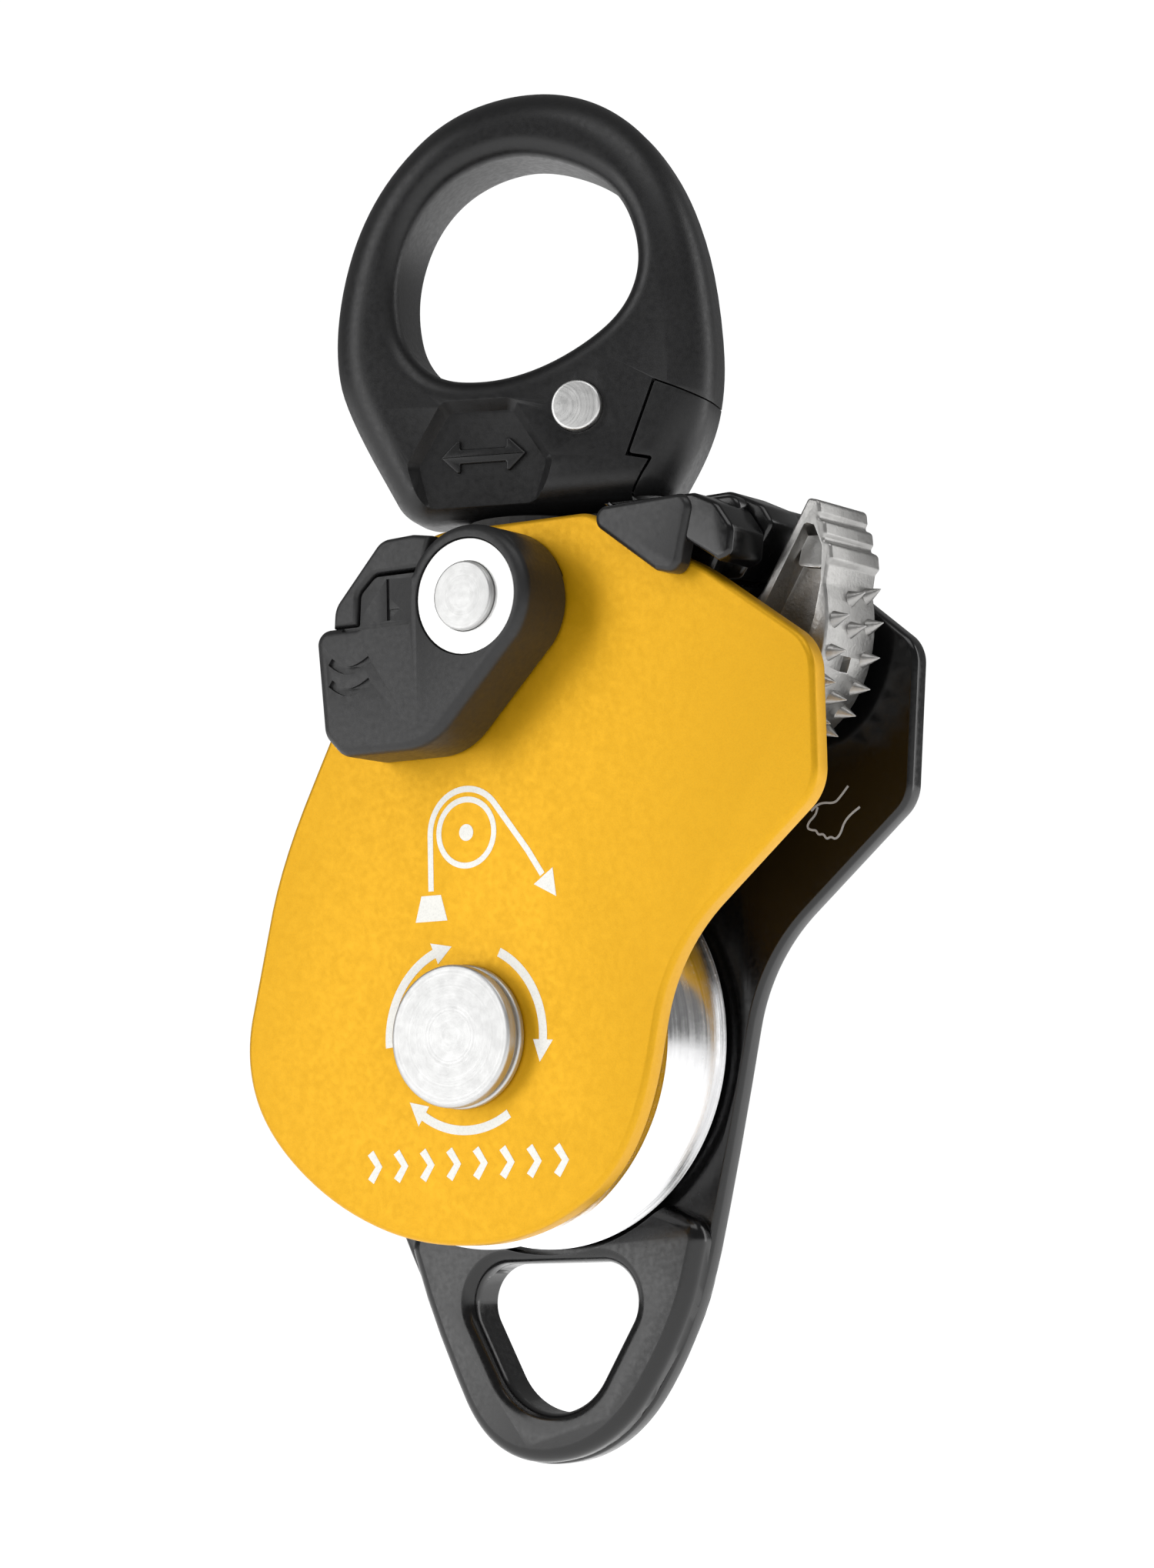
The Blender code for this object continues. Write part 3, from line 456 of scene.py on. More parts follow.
def anodised(name, base, shade, metallic, rough, grain=0.25, edge=None, rim_wear_and_light_amount=0.5):
    """Bead-blasted and anodised aluminium: fine even grain, slow tone drift, and rims tinted another colour,
    partly as wear and partly as painted light: lighter rims on the dark finishes are painted highlight,
    darker orange rims on the yellow are painted shade.
    """
    n = Nodes(name, base, metallic, rough)
    at = n.coords()
    drift = n.noise(at, 45.0, 3.0, 0.5)
    fine = n.noise(at, 5200.0, 2.0, 0.6)
    speck = n.noise(at, 1500.0, 2.0, 0.5)
    tone = n.mix(n.spread(drift, 0.0, 1.0, 0.35, 0.65), base, shade)
    tone = n.mix(n.spread(fine, 0.0, 0.16, 0.4, 0.75), tone, tuple(c * 0.55 for c in base))
    # rim colour, mixed in at random strength: partly wear, partly painted light (painted highlight on dark
    # finishes, painted shade on the yellow)
    if edge:
        rim_wear_and_light_mask = n.math("MULTIPLY", n.edge(0.0005, 0.03, 0.3), n.spread(speck, rim_wear_and_light_amount * 0.3, rim_wear_and_light_amount))
        tone = n.mix(rim_wear_and_light_mask, tone, edge)
    n.link(tone, "Base Color")
    matt = n.spread(drift, rough - 0.03, rough + 0.03)
    n.link(n.math("ADD", n.spread(speck, -0.05, 0.06), matt), "Roughness")
    n.bump(n.math("ADD", fine, n.math("MULTIPLY", speck, 0.6)), grain, 0.00004)
    return n.mat


def moulded(name, base, shade, rough, grain=0.35):
    """Matt injection-moulded polymer with a fine spark-eroded texture."""
    n = Nodes(name, base, 0.0, rough, Specular_IOR_Level=0.45)
    at = n.coords()
    coarse = n.noise(at, 1400.0, 4.0, 0.6)
    slow = n.noise(at, 60.0, 2.0, 0.5)
    n.link(n.mix(n.spread(slow, 0.0, 1.0), base, shade), "Base Color")
    n.link(n.spread(coarse, rough - 0.06, rough + 0.08), "Roughness")
    n.bump(coarse, grain, 0.00006)
    return n.mat


def turned(name, base, rough, cx, cz, pitch=0.00022, depth=0.15, tint=0.9):
    """Metal faced on a lathe: fine rings about a Y-parallel axis, uneven in depth."""
    n = Nodes(name, base, 1.0, rough)
    radius, at = n.around(cx, cz)
    rings = n.node("ShaderNodeTexNoise", Scale=1.0 / pitch, Detail=3.0, Roughness=0.7)
    rings.noise_dimensions = "1D"
    n.tree.links.new(radius, rings.inputs["W"])
    spots = n.noise(at, 900.0, 3.0, 0.6)
    slow = n.noise(at, 80.0, 2.0, 0.5)
    tone = n.mix(n.spread(rings.outputs["Fac"], 0.0, 1.0), tuple(c * tint for c in base), base)
    tone = n.mix(n.spread(slow, 0.0, 0.25), tone, tuple(c * 0.86 for c in base))
    n.link(tone, "Base Color")
    n.link(n.math("ADD", n.spread(rings.outputs["Fac"], rough - 0.05, rough + 0.06),
                  n.spread(spots, -0.04, 0.05)), "Roughness")
    n.bump(n.math("ADD", rings.outputs["Fac"], n.math("MULTIPLY", spots, 0.3)), depth, 0.00005)
    return n.mat


def cast(name, base, rough, grain=0.5):
    """Cast, bead-blasted stainless steel with rubbed, brighter edges and darker blotches at random."""
    n = Nodes(name, base, 1.0, rough)
    at = n.coords()
    fine = n.noise(at, 2600.0, 4.0, 0.65)
    blotch = n.noise(at, 260.0, 3.0, 0.55)
    tone = n.mix(n.spread(blotch, 0.0, 0.6), base, tuple(c * 0.62 for c in base))
    edge = n.edge(0.00035, 0.04, 0.3)
    tone = n.mix(n.math("MULTIPLY", edge, 0.55), tone, (0.86, 0.86, 0.85))
    n.link(tone, "Base Color")
    matt = n.spread(fine, rough - 0.05, rough + 0.1)
    n.link(n.math("SUBTRACT", matt, n.math("MULTIPLY", edge, 0.12)), "Roughness")
    n.bump(n.math("ADD", fine, n.math("MULTIPLY", blotch, 0.6)), grain, 0.00008)
    return n.mat


def drawn(name, base, rough):
    """Drawn spring or pin wire: faint lines and small tone changes."""
    n = Nodes(name, base, 1.0, rough)
    at = n.coords((1.0, 0.25, 1.0))
    lines = n.noise(at, 3000.0, 3.0, 0.6)
    slow = n.noise(at, 300.0, 2.0, 0.5)
    n.link(n.mix(n.spread(slow, 0.0, 0.5), base, tuple(c * 0.7 for c in base)), "Base Color")
    n.link(n.spread(lines, rough - 0.06, rough + 0.08), "Roughness")
    n.bump(lines, 0.2, 0.00003)
    return n.mat


def printed(name, colour):
    """Pad-printed ink with a slightly broken, grainy surface."""
    n = Nodes(name, colour, 0.0, 0.55)
    at = n.coords()
    fine = n.noise(at, 4200.0, 3.0, 0.7)
    n.link(n.mix(n.spread(fine, 0.0, 0.5, 0.45, 0.75), colour, tuple(c * 0.72 for c in colour)), "Base Color")
    n.link(n.spread(fine, 0.5, 0.65), "Roughness")
    n.bump(fine, 0.2, 0.00003)
    return n.mat


AX, AZ = AXLE.x, AXLE.z
LX, LZ = LATCH[0] * MM + AX, LATCH[1] * MM + AZ
CX, CZ = CAM[0] * MM + AX, CAM[1] * MM + AZ
# the rim colours of these dark finishes, lighter than their faces, are partly wear and partly painted
# highlight
FORGED = anodised("forged_grey", (0.008, 0.008, 0.0085), (0.011, 0.011, 0.0115),
                  0.2, 0.38, 0.22, (0.04, 0.04, 0.04), 0.4)
BLACK = anodised("gloss_black", (0.002, 0.002, 0.0022), (0.0035, 0.0035, 0.0038),
                 0.02, 0.2, 0.03, (0.05, 0.05, 0.052), 0.6)
HOOK = anodised("satin_black", (0.014, 0.014, 0.0145), (0.018, 0.018, 0.0185),
                0.2, 0.33, 0.15, (0.04, 0.04, 0.04), 0.3)
# the darker orange rim colour of the yellow is painted shade on the rounded rims
YELLOW = anodised("anodised_yellow", (0.665, 0.345, 0.001), (0.685, 0.36, 0.002),
                  0.55, 0.44, 0.2, (0.38, 0.12, 0.002), 0.7)
POLYMER = moulded("black_polymer", (0.010, 0.010, 0.0105), (0.014, 0.014, 0.0145), 0.42)
SEAL = moulded("seal_rubber", (0.022, 0.022, 0.022), (0.028, 0.028, 0.028), 0.68, 0.2)
CAP = turned("axle_cap_steel", (0.56, 0.56, 0.555), 0.42, AX, AZ, 0.00022, 0.06)
RIVET = turned("rivet_steel", (0.52, 0.52, 0.515), 0.40, LX, LZ, 0.00030, 0.2)
WASHER = turned("washer_steel", (0.86, 0.86, 0.85), 0.45, LX, LZ, 0.00020, 0.12)
SHEAVE = turned("polished_sheave", (0.86, 0.86, 0.865), 0.2, AX, AZ, 0.00050, 0.25, 0.8)
AXLE_STEEL = turned("axle_steel", (0.6, 0.6, 0.6), 0.32, AX, AZ, 0.0003, 0.2)
BEARING = turned("bearing_steel", (0.55, 0.56, 0.58), 0.2, AX, AZ, 0.0003, 0.1)
CAM_STEEL = cast("cast_stainless", (0.40, 0.395, 0.385), 0.36)
PIN_STEEL = turned("cam_pin_steel", (0.6, 0.6, 0.59), 0.32, CX, CZ, 0.0003, 0.2)
WIRE = drawn("spring_wire", (0.5, 0.5, 0.52), 0.3)
SPINDLE = drawn("spindle_steel", (0.6, 0.6, 0.6), 0.28)
INK = printed("white_ink", (0.86, 0.85, 0.80))
GREY_INK = printed("grey_ink", (0.42, 0.42, 0.42))

# ------------------------------------------------------------------ swivel ring

HALF = 6.5                                  # half thickness of the ring
LOW = 62.9                                  # underside of the ring
LIP = 2.4                                   # rounding of the hole's rims
RIM = 4.9                                   # rounding of the outer rims
PANEL_MID = (-4.25, 70.0)
CHAMBER_R = 4.6                             # room for the swivel head in the ring's base
ring_outline = fillet([(-14.4, LOW, 5.2), (17.9, LOW, 5.2)] + [(x, z, FLOW) for x, z in (
    (23.0, 71.4), (24.6, 78.6), (24.3, 87.0), (23.0, 95.6), (19.9, 104.2), (14.6, 111.4), (7.4, 115.4),
    (-1.0, 115.9), (-9.2, 113.4), (-15.8, 107.6), (-20.2, 100.8), (-22.8, 92.8), (-23.7, 84.6),
    (-22.4, 77.6))], FINE)
ring_hole = fillet([(x, z, FLOW) for x, z in (
    (2.2, 107.7), (8.9, 105.4), (13.3, 102.0), (15.5, 97.0), (15.7, 91.8), (13.4, 87.1), (8.6, 83.5),
    (2.6, 80.8), (-3.6, 79.7), (-9.8, 80.4), (-13.8, 84.2), (-15.0, 89.6), (-14.6, 95.0), (-12.4, 100.6),
    (-8.6, 104.8), (-3.4, 107.2))], FINE)


def ring_blank():
    """The forging before its hole, panel and seam are cut."""
    return flat([ring_outline], -HALF, HALF, RIM, RIM, 12)


def grown(loop, by):
    """A smooth closed loop moved outward."""
    out = []
    middle = sum((Vector(p) for p in loop), Vector((0.0, 0.0))) / len(loop)
    for i, p in enumerate(loop):
        side = (Vector(loop[(i + 1) % len(loop)]) - Vector(loop[i - 1])).normalized().orthogonal()
        out.append(tuple(Vector(p) + side * (by if side.dot(Vector(p) - middle) > 0 else -by)))
    return out


lip = [(LIP * (1 - math.sin(math.radians(a))), LIP * (1 - math.cos(math.radians(a))))
       for a in range(90, -1, -10)]
eyelet = place("ring_eyelet", loft(
    (-HALF - 0.6, grown(ring_hole, LIP + 0.6)), *[(-HALF + d, grown(ring_hole, by)) for d, by in lip],
    *[(HALF - d, grown(ring_hole, by)) for d, by in lip[::-1]], (HALF + 0.6, grown(ring_hole, LIP + 0.6))),
    ring=True)
ring = place("ring_forging", ring_blank(), FORGED, "ring", ["swivel_ring"], ring=True, sharp=50.0)
rim = fillet([(-13.5, 69.8, 1.6), (-8.9, 77.4, 1.6), (0.2, 77.3, 1.6), (5.0, 69.4, 1.6),
              (3.2, 63.4, 1.6), (-12.0, 63.4, 1.6)], 12.0)
panel = place("ring_panel", loft(*[
    (y, [(PANEL_MID[0] + (x - PANEL_MID[0]) * k, PANEL_MID[1] + (z - PANEL_MID[1]) * h) for x, z in rim])
    for y, k, h in ((-HALF - 1.0, 1.08, 1.1), (-HALF, 1.0, 1.0), (-HALF + 1.35, 0.87, 0.83))]), ring=True)
chamber = place("ring_chamber", lathe_z([
    (0.0, 61.0), (3.3, 61.0), (3.3, 65.2), (CHAMBER_R, 65.2), (CHAMBER_R, 71.6), (0.0, 71.6)],
    0.0, 0.0, 48), ring=True)
lever_room = prism("lever_room", [
    (14.4, 60.0, 0.0), (14.4, 64.8, 0.0), (16.8, 68.6, 0.0), (14.0, 69.2, 0.0), (17.6, 78.4, 0.0),
    (27.5, 74.2, 0.0), (27.5, 60.0, 0.0)], -HALF - 1.0, HALF + 1.0, ring=True)
tongue_room = prism("tongue_room", [
    (3.0, 72.3, 1.0), (3.0, 78.8, 1.0), (19.0, 78.4, 0.0), (19.0, 66.8, 0.0)], -2.8, 2.8, ring=True)
pin_hole = rod("cross_hole", *CROSS, 1.62, -HALF - 1, HALF + 1, True)
head_hole = rod("cross_seat_front", *CROSS, 3.2, -HALF - 1, -HALF + 1.4, True)
tail_hole = rod("cross_seat_back", *CROSS, 3.2, HALF - 1.4, HALF + 1, True)
cut(ring, eyelet, panel, chamber, lever_room, tongue_room, pin_hole, head_hole, tail_hole)
soft_edges(ring, 0.3, 3, 38.0)

# A raised double arrow in the recessed panel: the ring turns
turn_mark = fillet([(-9.4, 70.6, 0.15), (-6.9, 73.0, 0.3), (-6.9, 71.5, 0.15), (-1.1, 71.5, 0.15),
                    (-1.1, 73.0, 0.3), (1.4, 70.6, 0.15), (-1.1, 68.2, 0.3), (-1.1, 69.7, 0.15),
                    (-6.9, 69.7, 0.15), (-6.9, 68.2, 0.3)], 20.0)
place("ring_turn_mark", flat([turn_mark], -HALF + 0.85, -HALF + 1.6, 0.22, 0.0, 3), FORGED, "ring",
      ring=True)

cross_at = to_world((CROSS[0], 0.0, CROSS[1]), True)
CROSS_STEEL = turned("cross_pin_steel", (0.78, 0.78, 0.77), 0.4, cross_at.x, cross_at.z, 0.00035, 0.1)
place("cross_pin", lathe(soften([
    (0.0, -HALF - 0.9), (3.1, -HALF - 0.9), (3.1, -HALF + 1.38), (1.6, -HALF + 1.38),
    (1.6, HALF - 1.38), (3.1, HALF - 1.38), (3.1, HALF + 0.5), (0.0, HALF + 0.5)], 0.4, 5), *CROSS, 72),
    CROSS_STEEL, "ring", ["ring_cross_pin"], ring=True)

lock = place("lock_lever", ring_blank(), FORGED, "ring_lock", ["ring_lock_lever"], ring=True, sharp=50.0)
combine(lock, prism("lock_shape", [
    (14.65, LOW + 1.5, 0.0), (14.65, 64.75, 0.2), (17.4, 68.9, 0.3), (14.5, 69.5, 0.3), (17.85, 78.05, 0.3),
    (29.0, 73.4, 0.0), (29.0, LOW + 1.5, 0.0)], -10.0, 10.0, ring=True), "INTERSECT")
add(lock, prism("lock_tongue", [
    (3.4, 74.0, 1.0), (3.4, 78.4, 1.0), (19.0, 77.0, 0.0), (19.0, 68.8, 0.0)], -2.5, 2.5, ring=True))
cut(lock, prism("lock_hole", [(5.2, 73.3, 1.2), (5.2, 78.0, 1.2), (10.1, 78.0, 1.2), (10.1, 73.7, 1.2)],
                -HALF, HALF, ring=True))
soft_edges(lock, 0.3, 3, 38.0)

# ------------------------------------------------------------------ fixed side plate

EYE_SIDE = [(24.0, -14.0, FLOW), (18.6, -35.0, FLOW), (7.6, -50.2, FLOW), (-9.8, -51.4, FLOW),
            (-18.0, -35.0, FLOW), (-25.0, -20.5, FLOW)]
fixed_outline = fillet([
    (-9.0, 60.9, 7.0), (31.0, 60.9, 4.0), (51.0, 44.4, 4.2), (49.5, 26.0, 5.0), (29.0, 8.6, 24.0)]
    + EYE_SIDE + [(-31.5, -5.0, 12.0), (-24.6, 28.0, 20.0)], FINE)
fixed = place("fixed_plate", flat([fixed_outline], BACK_IN, BACK, 0.7, 0.7, 4), BLACK, "frame",
              ["fixed_side_plate"], sharp=40.0)
HOLE = [(-14.8, -26.6, 4.8), (15.4, -26.6, 4.8), (-1.1, -53.2, 9.0)]
eye = place("eye_body", flat([
    fillet([(21.6, -22.4, 3.0)] + [(x * 0.985, z * 0.995, r) for x, z, r in EYE_SIDE[1:5]] + [
        (-21.8, -22.6, 3.0), (-6.0, -17.0, 0.0), (8.0, -17.0, 0.0)], 3.0),
    fillet(HOLE, 4.0)], 5.9, BACK - 0.3, 1.7, 0.0, 7))
bridge = place("bridge_block", flat([fillet([
    (-7.0, 61.4, 2.0), (30.0, 61.4, 0.0), (38.4, 61.4, 1.5), (32.6, 51.2, 2.0),
    (24.0, 47.0, 3.0), (-7.0, 47.0, 3.0)], 6.0)], FRONT_IN + 0.3, BACK_IN + 1.0, 0.5, 0.0, 3),
               BLACK, "frame")
place("bridge_shoulder", flat([fillet([
    (30.6, 62.2, 1.0), (34.8, 62.3, 2.4), (39.2, 60.2, 1.8), (40.6, 57.8, 1.2), (36.0, 51.8, 1.0),
    (30.0, 52.1, 0.9)], 5.0)], -6.2, 1.6, 0.5, 0.5, 3), BLACK, "frame")
swing_edge = [(SWING_R * math.cos(math.radians(a)), SWING_R * math.sin(math.radians(a)), 0.0)
              for a in [69.5 - 14.9 * k / 20 for k in range(21)]]
place("hook_arm", flat([fillet([(22.0, 61.25, 0.0)] + swing_edge + [
    (39.2, 53.3, 1.1), (39.6, 56.6, 1.6), (37.6, 59.6, 2.0), (34.4, 61.1, 1.2)], 6.0)],
    FRONT - 0.3 - 1.9, FRONT_IN + 2.0, 0.6, 0.0, 4), BLACK, "frame")
place("hook_face", flat([fillet([
    (18.4, 60.7, 1.5), (34.8, 61.2, 1.7), (32.3, 51.8, 1.9), (29.3, 52.5, 1.1)], 5.0)],
    FRONT - 2.8, FRONT - 0.3, 0.8, 0.0, 5), HOOK, "frame")
room = rod("sheave_room", 0.0, 0.0, 25.7, 0.0, BACK_IN + 0.1, count=180)
through = prism("eye_through", [(x * 1.002, z * 1.001, r) for x, z, r in HOLE], 8.2, 15.0, step=4.0)
spindle_bore = place("spindle_bore", lathe_z(
    [(0.0, 40.0), (3.02, 40.0), (3.02, 70.0), (0.0, 70.0)], SWIVEL_X, 0.0, 48))
axle_bore = rod("axle_bore", 0.0, 0.0, 5.02, 0.0, 16.0)
cam_bore = rod("cam_bore", *CAM, 2.62, 0.0, 16.0)
detent_bore = rod("detent_bore", *DETENT, 3.02, 0.0, 16.0)
channel = prism("catch_channel", [(16.6, 53.0, 0.8), (16.6, 64.0, 0.0), (-12.0, 64.0, 0.0)] + [
    (55.44 * math.cos(math.radians(a)), 55.44 * math.sin(math.radians(a)), 0.0)
    for a in (102.0, 96.0, 90.0, 84.0, 78.0)], FRONT_IN - 1.0, FRONT_IN + 3.8)
add(fixed, eye)
cut(fixed, room, through, axle_bore, cam_bore, detent_bore)
soft_edges(fixed, 0.35, 3, 40.0)
cut(bridge, spindle_bore, channel)
soft_edges(bridge, 0.3, 3, 40.0)

hand = (((41.3, 28.4), (40.2, 27.2), (39.4, 26.5), (37.8, 26.7), (36.9, 26.4), (36.2, 25.8)),
        ((37.1, 26.2), (36.8, 25.3), (35.8, 24.5), (35.6, 23.8), (36.3, 23.5), (36.8, 23.5), (37.1, 22.9),
         (37.8, 23.0), (38.2, 22.3), (38.8, 22.6), (39.4, 22.2), (40.1, 22.8), (40.6, 24.1), (41.5, 25.0),
         (42.8, 25.8)))
place("hand_mark", joined([flat([band(smooth(line), 0.26)], BACK_IN - 0.05, BACK_IN + 0.05)
                           for line in hand]), GREY_INK, "frame")

# ------------------------------------------------------------------ axle and sheave

place("axle_cap_piece", lathe(soften([
    (0.0, CAP_FRONT), (8.45, CAP_FRONT), (8.45, CAP_FRONT + 1.5), (7.85, CAP_FRONT + 1.6),
    (7.85, CAP_FRONT + 2.1), (8.55, CAP_FRONT + 2.2), (8.55, FRONT - 0.1), (5.03, FRONT - 0.1),
    (5.03, CAP_FRONT + 1.76), (0.0, CAP_FRONT + 1.76)], 0.5, 6), 0.0, 0.0, 128), CAP, "frame", ["axle_cap"])
place("axle_pin", lathe(soften([
    (0.0, CAP_FRONT + 1.8), (5.0, CAP_FRONT + 1.8), (5.0, BACK + 0.02), (7.6, BACK + 0.02),
    (7.6, BACK + 1.8), (0.0, BACK + 1.8)], 0.5, 4), 0.0, 0.0, 96), AXLE_STEEL, "frame", ["sheave_axle"])
groove = [(19.0 + 6.0 * (1 - math.cos(math.pi / 2 * abs(k) / 10)) ** 0.9,
           6.6 * math.sin(math.pi / 2 * k / 10)) for k in range(-10, 11)]
place("sheave_wheel", lathe(soften([
    (11.0, -4.6), (19.0, -4.6), (20.0, -7.6), (25.0, -7.6)], 0.4) + groove + soften([
    (25.0, 7.6), (20.0, 7.6), (19.0, 4.6), (11.0, 4.6)], 0.4), 0.0, 0.0, 180), SHEAVE, "wheel", ["sheave"])

# ------------------------------------------------------------------ opening plate

moving_outline = fillet([
    (-6.5, 60.9, 9.0), (18.4, 60.9, 5.0), (34.2, 52.8, 26.0), (48.5, 42.6, 6.0), (48.6, 25.8, 6.0),
    (28.4, 8.6, 24.0), (23.2, -15.0, FLOW), (9.8, -24.0, FLOW), (-6.0, -24.9, FLOW),
    (-19.5, -19.8, FLOW), (-29.8, -10.6, FLOW), (-33.0, -1.0, FLOW), (-30.4, 9.2, FLOW),
    (-27.2, 22.3, FLOW), (-18.6, 38.6, FLOW)], FINE)
moving = place("opening_plate", flat(
    [moving_outline, circle(0.0, 0.0, AXLE_R + 0.3)], FRONT, FRONT_IN, 0.7, 0.5, 5),
    YELLOW, "side_plate", ["moving_side_plate"], sharp=40.0)
rivet_hole = rod("rivet_hole", *LATCH, 2.52, -20.0, 0.0)
slot_cut = prism("catch_slot", [p + (0.0,) for p in (
    arc(*LATCH, CATCH_REACH - 1.8, CATCH_AT + 34.0, CATCH_AT - 14.0, 14)
    + arc(*LATCH, CATCH_REACH + 1.8, CATCH_AT - 14.0, CATCH_AT + 34.0, 14))], -20.0, 0.0)
cut(moving, rivet_hole, slot_cut)


def turn_arrow(r, start, end, width, head):
    """A clockwise arc with an arrow head, as one outline."""
    tip = end - math.degrees(head * 1.15 / r)
    return (arc(0.0, 0.0, r - width / 2, start, end, 24) + arc(0.0, 0.0, r - head * 0.6, end, end, 1)[:1]
            + arc(0.0, 0.0, r, tip, tip, 1)[:1] + arc(0.0, 0.0, r + head * 0.6, end, end, 1)[:1]
            + arc(0.0, 0.0, r + width / 2, end, start, 24))


def chevron(x, z, size, width):
    """A stroke that points to the right."""
    return band([(x, z + size), (x + size * 0.7, z), (x, z - size)], width)


marks = [[turn_arrow(11.0, start, end, 1.1, 2.3)] for start, end in
         ((184.0, 113.0), (63.0, -4.0), (-57.0, -124.0))]
# A rope over a pulley, its load on the left and the pulling hand's arrow on the right
WHEEL_MARK = (0.6, 24.3)
marks += [[circle(*WHEEL_MARK, 4.3, 64), circle(*WHEEL_MARK, 3.6, 64)], [circle(*WHEEL_MARK, 1.0, 32)]]
rope = ([(-4.6, 17.6), (-4.6, 24.3)] + arc(*WHEEL_MARK, 5.2, 172.0, 38.0, 22)
        + [(9.3, 21.6), (11.3, 18.6)])
marks += [[band(rope, 0.75)], [[(-6.9, 14.0), (-2.3, 14.0), (-3.2, 17.1), (-6.0, 17.1)]],
          [[(13.2, 15.9), (12.75, 19.3), (10.1, 17.5)]]]
marks += [[chevron(-14.0 + 3.8 * k, -14.9, 1.7, 1.0)] for k in range(8)]
place("plate_marks", joined([flat(loops, FRONT - 0.04, FRONT + 0.05) for loops in marks]), INK, "side_plate")

# ------------------------------------------------------------------ latch

place("latch_guard_piece", flat([fillet([
    (-12.7, 49.1, 0.0), (-12.5, 51.6, 3.0), (-5.6, 59.1, 2.6), (-1.0, 59.3, 1.2), (1.6, 58.9, 0.0),
    (0.6, 55.15, 0.0), (-6.5, 55.1, 1.6), (-8.9, 53.0, 1.6), (-9.15, 49.1, 0.0)], 6.0)],
    LATCH_FRONT + 0.8, FRONT - 0.02, 0.7, 0.0, 6), POLYMER, "side_plate", ["latch_guard"])
latch = place("latch_piece", flat([fillet([
    (-15.0, 49.0, 1.8), (-13.9, 36.2, 2.6), (-11.3, 33.5, 2.6), (1.6, 33.5, 9.0)] + [
    p + (0.0,) for p in arc(*LATCH, 8.6, -38.0, 152.0, 70)] + [
    (-0.7, 54.75, 0.25), (-6.3, 54.75, 1.5), (-8.5, 52.8, 1.5), (-8.75, 49.0, 0.3)], 4.0)],
    LATCH_FRONT, LATCH_BACK, 1.3, 0.3, 7), POLYMER, "latch", ["latch_lever"], sharp=40.0)
relief = prism("latch_relief", [(-11.0, 48.4, 0.3), (-11.0, 60.5, 0.3), (1.6, 60.5, 0.3), (-0.5, 54.0, 0.6),
                                (-0.7, 48.4, 0.6)], -30.0, LATCH_FRONT + 0.9)
cut(latch, relief, rod("washer_seat", *LATCH, 7.0, -30.0, LATCH_FRONT + 1.2, count=96),
    rod("pin_way", *LATCH, 2.8, -30.0, 0.0), rod("spring_room", *LATCH, 5.6, LATCH_BACK - 3.0, -10.0))
for k in range(2):
    smile = smooth([(x, z - 2.6 * k) for x, z in (
        (-12.5, 45.0), (-11.4, 44.2), (-9.9, 43.6), (-8.2, 44.0), (-6.7, 44.8))])
    cut(latch, place("chevron_%d" % k, flat([band(smile, 0.95)], -30.0, LATCH_FRONT + 0.45)))
push = [(-4.75, 54.3), (-4.35, 54.3), (-4.35, 50.6), (-2.9, 50.6), (-4.35, 49.3), (-4.75, 49.3)]
cut(latch, place("push_mark", flat([push], -30.0, LATCH_FRONT + 1.25)))
add(latch, rod("catch_pin", *CATCH, CATCH_R, LATCH_BACK - 3.5, FRONT_IN + 3.4))
soft_edges(latch, 0.2, 2, 38.0)

place("latch_rivet_piece", lathe(soften([
    (0.0, LATCH_FRONT - 0.5), (4.1, LATCH_FRONT - 0.5), (4.1, LATCH_FRONT + 1.08),
    (2.5, LATCH_FRONT + 1.08), (2.5, FRONT_IN - 0.9), (0.0, FRONT_IN - 0.9)], 0.35, 5), *LATCH, 96),
    RIVET, "side_plate", ["latch_rivet"])
place("latch_washer_piece", lathe(soften([
    (4.15, LATCH_FRONT + 0.25), (6.85, LATCH_FRONT + 0.25), (6.85, LATCH_FRONT + 1.05),
    (4.15, LATCH_FRONT + 1.05)], 0.12), *LATCH, 96), WASHER, "side_plate", ["latch_washer"])

# ------------------------------------------------------------------ cam


TOOTH_LOW = 10.6                            # spiral radius at the low end of the points
TOOTH_TOP = 22.4                            # spiral radius at the high end


def about_cam(r, degrees):
    """A point on a circle about the cam's pivot."""
    t = math.radians(degrees)
    return CAM[0] + r * math.cos(t), CAM[1] + r * math.sin(t)


def tooth_radius(degrees):
    """The spiral that carries the points, so that the cam presses harder as it turns in."""
    return TOOTH_LOW + (TOOTH_TOP - TOOTH_LOW) * (degrees + 20.0) / 60.0


face = [about_cam(tooth_radius(a), a) + (2.0,) for a in range(-20, 37, 4)]
cam_outline = fillet([about_cam(5.6, -75.0) + (3.0,)] + face + [
    (47.4, 52.4, 0.5), (48.0, 53.0, 0.5), (47.9, 54.7, 0.6), (46.8, 55.3, 0.4), (47.3, 56.0, 0.4),
    (47.2, 57.4, 0.6), (46.2, 57.9, 0.4), (46.6, 58.6, 0.4), (46.5, 60.0, 0.7), (45.0, 60.4, 0.5),
    (38.2, 49.6, 4.0), about_cam(6.4, 110.0) + (4.5,), about_cam(6.4, 200.0) + (5.0,)], 6.0)
cam = place("cam_piece", flat([cam_outline, circle(*CAM, 2.9, 64)], -CAM_HALF, CAM_HALF, 0.35, 0.35, 3),
            CAM_STEEL, "cam", ["toothed_cam"], sharp=40.0)
pocket = prism("cam_pocket", [
    (44.5, 57.6, 0.5), (45.7, 57.2, 0.6), (46.7, 54.6, 0.8), (46.4, 50.4, 2.0), (45.4, 46.4, 2.0),
    (43.9, 42.6, 2.0), (41.4, 39.6, 1.0), (36.6, 42.4, 1.5), (38.2, 47.6, 2.0)], -10.0, -1.4)
